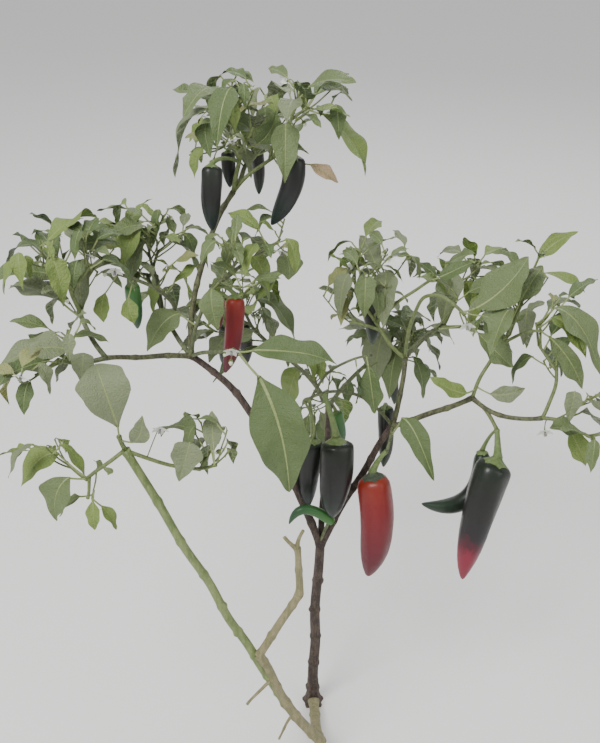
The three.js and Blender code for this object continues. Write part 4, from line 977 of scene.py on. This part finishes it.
for mass in masses.values():
    draw = random_stream(SHOOT_SEEDS, mass["number"])
    for spray, bearer in enumerate(mass["bearers"]):
        first, wanted = SHOOTS[bearer["forks"] > 0] if mass["tip_leaves"] else (0, 0)
        route = bearer["route"]
        for step in range(wanted):
            grow_shoot(mass, draw, node_place(route, first + step), route.heading(1), spray)
    keep_clear_of(mass, mass["bearers"] + mass["shoots"])
    for shoot in mass["shoots"]:
        habit = (SHOOT_LEAF_SPACING, SHOOT_LEAF_CANDIDATES, shoot["spray"], within_reach)
        for steps, length in SHOOT_LEAVES:
            add_leaf(mass, draw, shoot, steps, length, *habit)

# The twigs' mesh: slim tubes of young wood, swollen where a leaf or twig leaves them. Each is sunk
# a little into the one that bears it, green on the outer twigs and olive next to the old wood.
TWIG_SEEDS = (811, 1)
TWIG_RING_STEP, LEAST_TWIG_RINGS = 4.5, 4
TWIG_SIDES, SHOOT_SIDES = 9, 6
TWIG_SWELL, TWIG_SWELL_REACH = 0.3, 3.2
TWIG_SWAY, TWIG_SWAY_SHARE, TWIG_SWAY_WAVE, TWIG_SWAY_HINT = 0.9, 1 / 40, 9, (0.3, 0.8, 0.5)
ROOT_SINK = 1.2
BARE_TWIG = dict(route=route_through((-12, -4, 441), (-2.3, -9, 403), (-24, 0, 357)), radii=(1.5, 1.2))
WOODY_RADIUS = 2.5


def twig_tube(bearer, sides, dice, sink=ROOT_SINK):
    route = bearer["route"]
    length = route.length()
    share = np.linspace(0, 1, max(LEAST_TWIG_RINGS, int(length / TWIG_RING_STEP)) + 1)
    way = route.at(share)
    way[0] = way[0] - route.heading(0) * sink
    sway = np.sin(math.pi * share) * min(TWIG_SWAY, length * TWIG_SWAY_SHARE)
    level = level_across(route, TWIG_SWAY_HINT)
    way = way + (sway * np.sin(share * length / TWIG_SWAY_WAVE + any_phase(dice)))[:, None] * level
    thick, thin = bearer["radii"]
    radius = thick + (thin - thick) * share
    radius = radius * (1 + TWIG_SWELL * np.exp(-(((1 - share) * length / TWIG_SWELL_REACH) ** 2)))
    return tube(way, radius, sides)


twigs = Gathering()
for mass in masses.values():
    dice = random_stream(TWIG_SEEDS, mass["number"], warm_up=0)
    for bearer in mass["bearers"]:
        woody = mass["old_wood"] or bearer["radii"][0] > WOODY_RADIUS
        sink = 0 if bearer["route"] is mass["ways"][0] else ROOT_SINK
        twigs.add(*twig_tube(bearer, TWIG_SIDES, dice, sink), finish=int(woody))
    bare = [BARE_TWIG] if mass["name"] == "inner_spur" else []
    for shoot in mass["shoots"] + bare:
        twigs.add(*twig_tube(shoot, SHOOT_SIDES, dice))
green_twig = skinned(
    "green_twig", (0.09, 0.125, 0.032), (0.145, 0.18, 0.06), (0.29, 0.31, 0.16), grain=330, stretch=0.6,
)
woody_twig = skinned(
    "woody_twig", (0.06, 0.075, 0.03), (0.12, 0.14, 0.06), (0.26, 0.28, 0.18),
    grain=330, stretch=0.6, rough=0.6, bump=0.4,
)
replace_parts(twigs.piece("twigs", "foliage", [green_twig, woody_twig]), *MASS_NAMES)

# The leaves: thin soft blades on slim stalks, pointed, quilted between their side veins and wavy at
# the edge, most of them drooping. Their greens differ from spray to spray: sage, deep, grey, fresh
# and a few yellowing.
BLADE_OUTLINE = (
    (0, 0.03), (0.04, 0.17), (0.09, 0.4), (0.16, 0.68), (0.25, 0.9), (0.35, 1.0), (0.45, 0.99), (0.55, 0.88),
    (0.65, 0.71), (0.75, 0.51), (0.84, 0.34), (0.92, 0.19), (0.97, 0.09), (1, 0.01),
)  # share of the blade's length, share of its half width
BLADE_ROWS = 29
BLADE_COLUMNS = np.array((-1, -0.66, -0.33, 0, 0, 0.33, 0.66, 1))
RIB_COLUMNS = (3, 4)
RIB_HALF, RIB_NARROWING = 0.013, 0.8
SIDE_VEINS, VEIN_SLANT, VEIN_HALF, VEIN_PALENESS = 7, 0.11, 0.016, 0.6
QUILTING, QUILT_SPREAD = 0.016, 1.1
BLADE_FOLDS = (0.7, 1.3)
EDGE_WAVE, EDGE_WAVES, EDGE_OFFSET = 0.045, (8, 13), 2.2
EDGE_UNEVEN, UNEVEN_WAVE, UNEVEN_OFFSET = 0.07, 17, 2
TIP_CURL, TIP_CURLS, TIP_CURL_START = 0.5, (-0.15, 0.85), 0.55
BLADE_TWISTS = (-0.45, 0.45)
PETIOLE_SIDES, PETIOLE_SAG, PETIOLE_SINK = 6, 0.04, 2
PETIOLE_GIRTH, PETIOLE_GROWTH = 0.75, 0.006
PETIOLE_GIRTHS = np.array((1.35, 1, 0.9, 0.85, 0.85, 0.9, 0.7))
TURNED_OVER = [0, 3, 2, 1]


def blade(leaf, draw):
    """A net of places that folds along the rib, is quilted, wavy at its edge, curled and twisted."""
    rows = np.linspace(0, 1, BLADE_ROWS)[:, None]
    swell = np.sin(math.pi * rows)
    out, hand = np.abs(BLADE_COLUMNS), np.sign(BLADE_COLUMNS)
    length, half = leaf["length"], leaf["width"] / 2
    uneven = np.sin(rows * UNEVEN_WAVE + any_phase(draw) + UNEVEN_OFFSET * hand)
    spread = np.interp(rows, *zip(*BLADE_OUTLINE)) * (1 + EDGE_UNEVEN * uneven)
    along = np.clip(rows + VEIN_SLANT * out * swell, 0, 1)
    rib_half = RIB_HALF * length * (1 - RIB_NARROWING * rows)
    across = hand * out * half * spread
    across[:, RIB_COLUMNS] = rib_half * (-1, 1)
    narrow = hand * rib_half * out
    across = np.where(np.abs(across) < np.abs(narrow), narrow, across)
    fold = LEAF_FOLD * np.abs(across) * draw_between(BLADE_FOLDS, draw)
    between_veins = 1 - np.cos(TURN * SIDE_VEINS * rows)
    quilt = QUILTING * length / 2 * between_veins * np.sin(math.pi * np.minimum(out * QUILT_SPREAD, 1))
    phase = any_phase(draw)
    wave = np.sin(rows * draw_between(EDGE_WAVES, draw) + phase + EDGE_OFFSET * hand)
    wave = (EDGE_WAVE * length * wave * out**2 + quilt) * swell**0.5
    curl = -TIP_CURL * length * draw_between(TIP_CURLS, draw) * np.maximum(rows - TIP_CURL_START, 0) ** 2
    twist = draw_between(BLADE_TWISTS, draw) * rows[..., None]
    side = leaf["side"] * np.cos(twist) + leaf["face"] * np.sin(twist)
    face = leaf["face"] * np.cos(twist) - leaf["side"] * np.sin(twist)
    places = leaf["rib"].at(along) + side * across[..., None] + face * (fold + wave + curl)[..., None]
    marks = np.stack(np.broadcast_arrays(BLADE_COLUMNS, rows), -1)
    faces = net_faces(BLADE_ROWS, len(BLADE_COLUMNS), closed=False)
    on_rib = faces[:, 0] % len(BLADE_COLUMNS) == RIB_COLUMNS[0]
    faces = faces[:, TURNED_OVER]
    return places.reshape(-1, 3), [faces[~on_rib], faces[on_rib]], (0, 1), marks.reshape(-1, 2)


def petiole(leaf):
    base = leaf["rib"].at(0)
    sag = UP * (-PETIOLE_SAG * np.linalg.norm(base - leaf["root"]))
    into = base + leaf["rib"].heading(0) * PETIOLE_SINK
    way = route_through(leaf["root"], (leaf["root"] + into) / 2 + sag, into)
    girth = PETIOLE_GIRTH + PETIOLE_GROWTH * leaf["length"]
    return tube(way.stretches(len(PETIOLE_GIRTHS) - 1), girth * PETIOLE_GIRTHS, PETIOLE_SIDES)


def along_mark(tree):
    """How far along a blade or pod a place is, from its mark."""
    mark = outputs_of(tree, "UVMap", {}, uv_map="along")["UV"]
    return outputs_of(tree, "SeparateXYZ", {"Vector": mark})["Y"]


def vein_effect():
    """A blade's side veins as a mask, from how far along the blade a place is."""
    tree = new_effect("side_veins", {}, dict(Veins="Float"))
    apart = worked_out(tree, "PINGPONG", along_mark(tree), 0.5 / SIDE_VEINS)
    _, result = effect_ends(tree)
    feed(tree, result, {"Veins": mapped(tree, apart, (0.0, VEIN_HALF), to=(1, 0))})
    return tree


side_veins = vein_effect()


def leaf_finish(name, main, patch, fleck, underside):
    """A blade's finish: mottled and flecked, with pale side veins, and paler on its underside."""

    def veined(tree, skin):
        veins = outputs_of(tree, "Group", {}, node_tree=side_veins)["Veins"]
        veins = worked_out(tree, "MULTIPLY", veins, VEIN_PALENESS)
        beneath = outputs_of(tree, "NewGeometry", {})["Backfacing"]
        return laid_over(tree, beneath, laid_over(tree, veins, skin["Color"], (*fleck, 1)), (*underside, 1))

    return skinned(name, main, patch, fleck, grain=120, flecks=0.85, rough=0.52, bump=1.5, colour=veined)


LEAF_TINTS = {  # its share of the sprays, its two greens, the colour of its flecks, its underside
    "sage": (0.34, (0.05, 0.094, 0.017), (0.11, 0.153, 0.042), (0.32, 0.36, 0.21), (0.12, 0.163, 0.058)),
    "deep": (0.24, (0.032, 0.067, 0.012), (0.072, 0.112, 0.025), (0.22, 0.27, 0.14), (0.087, 0.13, 0.04)),
    "grey": (0.22, (0.082, 0.118, 0.044), (0.165, 0.198, 0.1), (0.42, 0.45, 0.33), (0.165, 0.2, 0.1)),
    "fresh": (0.14, (0.08, 0.15, 0.012), (0.145, 0.22, 0.03), (0.31, 0.37, 0.14), (0.16, 0.225, 0.05)),
    "yellowing": (0.06, (0.165, 0.19, 0.034), (0.24, 0.245, 0.066), (0.38, 0.36, 0.17), (0.24, 0.255, 0.09)),
    "dry": (0, (0.2, 0.13, 0.06), (0.3, 0.21, 0.11), (0.42, 0.33, 0.2), (0.34, 0.25, 0.14)),
}
TINT_SEEDS = (5077, 13)
SPRAY_TINT_SHARE = 0.72
BELOW_LAST = 0.999  # keeps a draw under the limit of the last share
pale_rib = skinned(
    "pale_rib", (0.19, 0.24, 0.075), (0.25, 0.29, 0.11), (0.36, 0.38, 0.2), grain=400, flecks=0.4, bump=0.1,
)
tints = list(LEAF_TINTS)
tint_limits = np.cumsum([LEAF_TINTS[tint][0] for tint in tints])
by_tint = {tint: Gathering() for tint in tints}


def any_tint(draw):
    return tints[int(np.searchsorted(tint_limits, draw() * BELOW_LAST))]


for mass in masses.values():
    draw = random_stream(TINT_SEEDS, mass["number"])
    spray_tints = [any_tint(draw) for _ in mass["bearers"]]
    for leaf in mass["foliage"]:
        chosen = any_tint(draw) if draw() > SPRAY_TINT_SHARE else spray_tints[leaf["spray"]]
        gathered = by_tint[leaf["tint"] or chosen]
        gathered.add(*blade(leaf, draw))
        gathered.add(*petiole(leaf), finish=1)
for tint, (share, main, patch, fleck, underside) in LEAF_TINTS.items():
    finish = leaf_finish(tint + "_leaf", main, patch, fleck, underside)
    made = by_tint[tint].piece(tint + "_leaves", "foliage", [finish, pale_rib])
    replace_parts(made, *(MASS_NAMES if share else ["top_right_mass"]))

# The pods: glossy, thick-fleshed and slightly ribbed, each hung from a stout hooked stalk by a green
# calyx with small teeth. They ripen from near-black green through violet to red, from the tip up.
# The greener shoulder of the violet pods is partly their own green and partly painted highlight on their lit
# top.
POD_OUTLINE = (
    (0, 0.32), (0.01, 0.6), (0.03, 0.85), (0.065, 0.97), (0.12, 1.0), (0.3, 1.0), (0.45, 0.965),
    (0.6, 0.9), (0.72, 0.8), (0.82, 0.65), (0.9, 0.46), (0.955, 0.28), (0.985, 0.15), (1, 0.02),
)  # share of the pod's length, share of its greatest radius
POD_RINGS, POD_RING_CROWDING, POD_END_RINGS = 34, 1.15, (0.006, 0.02, 0.045, 0.985, 0.996)
POD_SIDES = 24
SHOULDERS, SHOULDER_DEPTH, SHOULDER_REACH = 3, 0.05, 0.45
POD_RIBS, POD_RIB_DEPTH = 4, 0.028
CREASES, CREASE_DEPTH, CREASE_TWIST = 7, 0.018, 9
POD_SWAY, POD_SWAY_WAVES, POD_SWAY_HINT = 0.1, (4, 7), (0.4, 0.8, 0.2)
CALYX_TEETH, TOOTH_SIDES = 6, 4
# The depth and reach of the cap's rings in shares of the pod's radius, and what a tooth adds to them
CALYX_RINGS = ((-0.32, 0.2), (-0.2, 0.27), (-0.1, 0.38), (-0.02, 0.5), (0.04, 0.6), (0.09, 0.66))
CALYX_TOOTH = ((0, 0), (0, 0), (0, 0), (0.02, 0.02), (0.05, 0.06), (0.09, 0.12))
STALK_OUTLINE = ((0, 0.8), (0.2, 0.68), (0.6, 0.85), (0.85, 1.05), (1, 1.35))
POD_STALK_RINGS, POD_STALK_SIDES, CALYX_SEAT, STALK_BEND = 13, 9, 0.2, 0.15


def pod_body(pod, dice):
    """A pod's skin with its shoulders, ribs and fine creases, bent a little from side to side."""
    route = pod_route(pod)
    share = np.linspace(0, 1, POD_RINGS) ** POD_RING_CROWDING
    share = np.sort(np.concatenate([share, POD_END_RINGS]))
    down = share[:, None]
    angle = np.arange(POD_SIDES) * TURN / POD_SIDES
    radius = pod["radius"] * np.interp(share, *zip(*POD_OUTLINE)) * (1 - pod["taper"] * share)
    skin = SHOULDER_DEPTH * np.cos(SHOULDERS * angle + any_phase(dice)) * np.exp(-down / SHOULDER_REACH)
    skin = skin + POD_RIB_DEPTH * np.cos(POD_RIBS * angle + any_phase(dice)) * np.sin(math.pi * down)
    skin = skin + CREASE_DEPTH * np.sin(CREASES * angle + down * CREASE_TWIST + any_phase(dice))
    sway = np.sin(share * draw_between(POD_SWAY_WAVES, dice) + any_phase(dice)) * share
    level = level_across(route, POD_SWAY_HINT)
    way = route.at(share) + (pod["radius"] * POD_SWAY * sway)[:, None] * level
    places, faces = tube(way, radius[:, None] * (1 + skin), POD_SIDES)
    marks = np.stack(np.broadcast_arrays(angle / TURN, down), -1).reshape(-1, 2)
    return places, faces, 0, np.concatenate([marks, [(0, 0), (0, 1)]])


def spokes(heading, hint, angles):
    return around(heading, unit(np.cross(heading, hint)), angles)


def calyx(pod):
    """A cap over the pod's shoulder whose edge runs out in small teeth."""
    route = pod_route(pod)
    sides = CALYX_TEETH * TOOTH_SIDES
    angle = np.arange(sides) * TURN / sides
    teeth = np.maximum(np.cos(CALYX_TEETH * angle), 0)
    plain, tooth = np.array(CALYX_RINGS)[..., None], np.array(CALYX_TOOTH)[..., None]
    depth, reach = (plain + tooth * teeth).swapaxes(0, 1)
    heading = route.heading(0)
    out = spokes(heading, RING_HINTS[0], angle)
    rings = route.at(0) + pod["radius"] * (depth[..., None] * heading + reach[..., None] * out)
    return rings.reshape(-1, 3), [net_faces(len(rings), sides)]


def pod_stalk(pod):
    route = stalk_route(pod)
    head, heading = pod_route(pod).at(0), pod_route(pod).heading(0) * pod["radius"]
    bent = Route(route.start, route.control - heading * STALK_BEND, head - heading * CALYX_SEAT)
    share = np.linspace(0, 1, POD_STALK_RINGS)
    girth = stalk_girth(pod) * np.interp(share, *zip(*STALK_OUTLINE))
    return tube(bent.at(share), girth, POD_STALK_SIDES)


RIPE_UNEVEN = 0.16
WAXY = {"Specular IOR Level": 0.35, "Coat Weight": 0.12, "Coat Roughness": 0.2}


def ripeness_effect():
    """How ripe a pod is at a place: from nought at its shoulder to one at its tip, with an uneven front."""
    tree = new_effect("ripeness", dict(Relief="Float"), dict(Ripeness="Float"))
    given, result = effect_ends(tree)
    ripe = worked_out(tree, "MULTIPLY_ADD", given["Relief"], RIPE_UNEVEN, along_mark(tree))
    feed(tree, result, {"Ripeness": ripe})
    return tree


ripeness = ripeness_effect()


def ripening(name, stages):
    """A pod's waxy skin whose colour changes from its shoulder to its tip. On the violet pods the greener
    shoulder is partly painted highlight.
    """

    def by_ripeness(tree, skin):
        measure = outputs_of(tree, "Group", {"Relief": skin["Relief"]}, node_tree=ripeness)["Ripeness"]
        ripened = outputs_of(tree, "ValToRGB", {"Fac": measure})["Color"]
        marks = ripened.node.color_ramp.elements
        while len(marks) < len(stages):
            marks.new(1.0)
        for mark, (place, colour) in zip(marks, stages):
            mark.position = place
            mark.color = (*colour, 1)
        return ripened

    first = stages[0][1]
    finish = skinned(
        name, first, first, first, grain=45, stretch=0.6, flecks=0.0, rough=0.4, bump=0.2, colour=by_ripeness
    )
    feed(finish.node_tree, finish.node_tree.nodes["Principled BSDF"], WAXY)
    return finish


POD_SKINS = {  # share of the ripening, colour there
    "red": (
        (0.1, (0.22, 0.026, 0.01)), (0.4, (0.175, 0.01, 0.01)), (0.7, (0.13, 0.007, 0.013)),
        (1.0, (0.09, 0.005, 0.014)),
    ),
    "dark": ((0.1, (0.013, 0.019, 0.01)), (0.6, (0.012, 0.011, 0.011)), (1.0, (0.01, 0.018, 0.014))),
    # The violet pods' greener colour at the shoulder is partly their own green and partly painted highlight,
    # the light on their lit top.
    "violet": (
        (0.1, (0.014, 0.03, 0.013)), (0.4, (0.014, 0.012, 0.012)), (0.8, (0.014, 0.02, 0.013)),
        (1.0, (0.02, 0.036, 0.02)),
    ),
    "turning": (
        (0.1, (0.012, 0.018, 0.01)), (0.76, (0.013, 0.01, 0.012)), (0.86, (0.08, 0.007, 0.016)),
        (0.94, (0.19, 0.012, 0.03)),
    ),
    "green": ((0.1, (0.05, 0.16, 0.03)), (0.6, (0.03, 0.11, 0.03)), (1.0, (0.025, 0.07, 0.03))),
}
WILD_RIPENESS = ("dark", "green", "violet", "dark")
POD_SEEDS = (9001, 17)
pods = {ripe: Gathering() for ripe in POD_SKINS}
pod_masses = {ripe: set() for ripe in POD_SKINS}
calyxes, pod_stalks = Gathering(), Gathering()
for mass in masses.values():
    dice = random_stream(POD_SEEDS, mass["number"])
    for pod in mass["pods"]:
        ripe = pod["ripe"] or WILD_RIPENESS[int(dice() * len(WILD_RIPENESS))]
        pods[ripe].add(*pod_body(pod, dice))
        pod_masses[ripe].add(mass["name"])
        calyxes.add(*calyx(pod), finish=int(pod["dull_calyx"]))
        pod_stalks.add(*pod_stalk(pod))
for ripe, stages in POD_SKINS.items():
    made = pods[ripe].piece(ripe + "_pods", "foliage", [ripening(ripe + "_pod", stages)])
    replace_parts(made, *sorted(pod_masses[ripe]))
calyx_green = skinned("calyx_green", (0.1, 0.155, 0.04), (0.15, 0.2, 0.07), (0.27, 0.31, 0.16), grain=300)
calyx_dull = skinned(
    "calyx_dull", (0.03, 0.045, 0.025), (0.06, 0.075, 0.04), (0.13, 0.15, 0.09), grain=300, rough=0.6,
)
all_pod_masses = sorted(set().union(*pod_masses.values()))
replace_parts(calyxes.piece("calyxes", "foliage", [calyx_green, calyx_dull]), *all_pod_masses)
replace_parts(pod_stalks.piece("pod_stalks", "foliage", [calyx_green]), *all_pod_masses)

# The buds and flowers: nodding white stars with five petals and grey anthers, and small green-white
# buds, on thin stalks at the ends of the shoots and at a few nodes that have a place of their own.
FLOWER_SEEDS = (3301, 29)
FLOWER_SHARE, BUD_SHARE = 0.16, 0.5
NOD_LENGTH, NOD_RISE, NOD_DROP, NOD_OUT, NOD_REACH = 9.0, 0.5, 0.55, 2, 4
NOD_STEPS, NOD_SIDES = 6, 6
FLOWER_NOD, BUD_NOD = (0.6, 0.55, 0.5, 0.5, 0.55, 0.7, 1.1), (0.55, 0.5, 0.45, 0.45, 0.5, 0.6, 0.9)
FACING_BEND = np.array((0, 6, 4))
PETALS, PETAL_LENGTH, PETAL_HALF, PETAL_ROWS, PETAL_FOOT = 5, 8.5, 2.9, 6, 1.4
PETAL_COLUMNS = np.array((-1, 0, 1))
FLOWER_HINT = (0.9, 0.3, 0.1)
PETAL_OUTLINE = ((0, 0.3), (0.3, 0.9), (0.55, 1.0), (0.8, 0.6), (1, 0.06))
PETAL_CUP, PETAL_RISE, PETAL_DROP, PETAL_DROP_CURVE = 0.5, 1.08, 2.16, 1.6
ANTHERS, ANTHER_FOOT, ANTHER_STEP, ANTHER_SPLAY = 5, 0.8, 2, 0.4
ANTHER_RADII, ANTHER_SIDES = (0.35, 0.55, 0.4), 5
BUD_LENGTH, BUD_RADIUS, BUD_SIZES, BUD_RINGS, BUD_SIDES, BUD_SEAT = 5.5, 1.9, (0.7, 1.2), 9, 9, 0.5
BUD_ARC = (0.08, 0.98)
BUD_CUP_ROWS = 4
NAMED_FLOWERS = dict(
    left_fork_spur=[(-82, -42, 521)], left_back_mass=[(-194, -4, 588)], right_outer_mass=[(220, -78, 452)],
    right_arch_mass=[(147, -16, 535)], front_left_inner_mass=[(-144, -122, 484)],
)
NAMED_BUDS = dict(
    left_fork_spur=[(-89, -38, 517), (-83, -40, 510)], left_back_mass=[(-204, -2, 586)],
    right_arch_mass=[(152, -16, 529)],
)
blossom, bud_parts = Gathering(), Gathering()
flower_masses, bud_masses = set(), set()


def nodding_stalk(shoot, draw):
    """A thin stalk that rises from a shoot's tip and bends over."""
    start, heading = shoot["route"].end, shoot["route"].heading(1)
    out = any_heading(draw)
    top = start + heading * (NOD_LENGTH * NOD_RISE) + out * NOD_OUT
    return Route(start - heading, top, top + out * NOD_REACH - UP * (NOD_LENGTH * NOD_DROP))


def facing_stalk(mass, place):
    """A stalk from the nearest node to a named place, where it nods outward to the front."""
    place = np.array(place, float)
    return Route(nearest_node(mass, place), place + FACING_BEND, place)


def add_flower(stalk, draw):
    """A stalk that widens into its calyx, five cupped petals that bend back, and a ring of anthers."""
    blossom.add(*tube(stalk.stretches(NOD_STEPS), FLOWER_NOD, NOD_SIDES), finish=1)
    centre, heading = stalk.end, stalk.heading(1)
    share = np.linspace(0, 1, PETAL_ROWS)
    width = PETAL_HALF * np.interp(share, *zip(*PETAL_OUTLINE))
    rise = PETAL_RISE - PETAL_DROP * share**PETAL_DROP_CURVE
    quads = net_faces(PETAL_ROWS, len(PETAL_COLUMNS), closed=False)[:, TURNED_OVER]
    for out in spokes(heading, FLOWER_HINT, any_phase(draw) + np.arange(PETALS) * TURN / PETALS):
        spine = centre + heading * PETAL_FOOT + np.outer(share * PETAL_LENGTH, out) - np.outer(rise, heading)
        places = spine[:, None] + (width[:, None] * PETAL_COLUMNS)[..., None] * np.cross(heading, out)
        places = places - PETAL_CUP * np.abs(PETAL_COLUMNS)[:, None] * heading
        blossom.add(places.reshape(-1, 3), [quads])
    for out in spokes(heading, FLOWER_HINT, np.arange(ANTHERS) * TURN / ANTHERS):
        foot = centre + heading * ANTHER_FOOT + out * ANTHER_FOOT
        way = [foot, foot + heading * ANTHER_STEP, foot + heading * (2 * ANTHER_STEP) + out * ANTHER_SPLAY]
        blossom.add(*tube(np.array(way), ANTHER_RADII, ANTHER_SIDES), finish=2)


def add_bud(stalk, draw):
    """A stalk and a small round bud whose lower rows are its green cup."""
    size = draw_between(BUD_SIZES, draw)
    bud_parts.add(*tube(stalk.stretches(NOD_STEPS), BUD_NOD, NOD_SIDES))
    heading = stalk.heading(1)
    share = np.linspace(0, 1, BUD_RINGS)
    way = stalk.end - heading * BUD_SEAT + np.outer(share * BUD_LENGTH * size, heading)
    radius = BUD_RADIUS * size * np.sqrt(np.sin(math.pi * np.linspace(*BUD_ARC, BUD_RINGS)))
    places, (skin, foot, top) = tube(way, radius, BUD_SIDES)
    cup = BUD_SIDES * BUD_CUP_ROWS
    bud_parts.add(places, [skin[:cup], foot, skin[cup:], top], (0, 0, 1, 1))


def bear(mass, draw, add, grown, named, bearing):
    """Adds a mass's flowers or buds, those that grew and those that have a place of their own."""
    for stalk in grown + [facing_stalk(mass, place) for place in named.get(mass["name"], ())]:
        add(stalk, draw)
        bearing.add(mass["name"])


for mass in masses.values():
    draw = random_stream(FLOWER_SEEDS, mass["number"])
    grown_flowers, grown_buds = [], []
    for shoot in mass["shoots"]:
        chance, stalk = draw(), nodding_stalk(shoot, draw)
        tested = stalk.stretches(3)
        if not free(mass, tested[1:], PETAL_LENGTH / 2) or not within_reach(tested):
            continue
        if chance < FLOWER_SHARE:
            grown_flowers.append(stalk)
        elif chance < FLOWER_SHARE + BUD_SHARE:
            grown_buds.append(stalk)
    bear(mass, draw, add_flower, grown_flowers, NAMED_FLOWERS, flower_masses)
    bear(mass, draw, add_bud, grown_buds, NAMED_BUDS, bud_masses)
petal_white = skinned(
    "petal_white", (0.72, 0.74, 0.66), (0.8, 0.8, 0.74), (0.62, 0.68, 0.5),
    grain=300, flecks=0.3, rough=0.6, bump=0.15,
)
anther_grey = skinned(
    "anther_grey", (0.2, 0.19, 0.26), (0.32, 0.3, 0.2), (0.5, 0.46, 0.25), grain=700, rough=0.6, bump=0.1,
)
bud_white = skinned(
    "bud_white", (0.5, 0.56, 0.36), (0.62, 0.64, 0.48), (0.72, 0.72, 0.6),
    grain=420, flecks=0.4, rough=0.55, bump=0.1,
)
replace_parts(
    blossom.piece("flowers", "foliage", [petal_white, green_twig, anther_grey]), *sorted(flower_masses)
)
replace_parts(bud_parts.piece("buds", "foliage", [green_twig, bud_white]), *sorted(bud_masses))
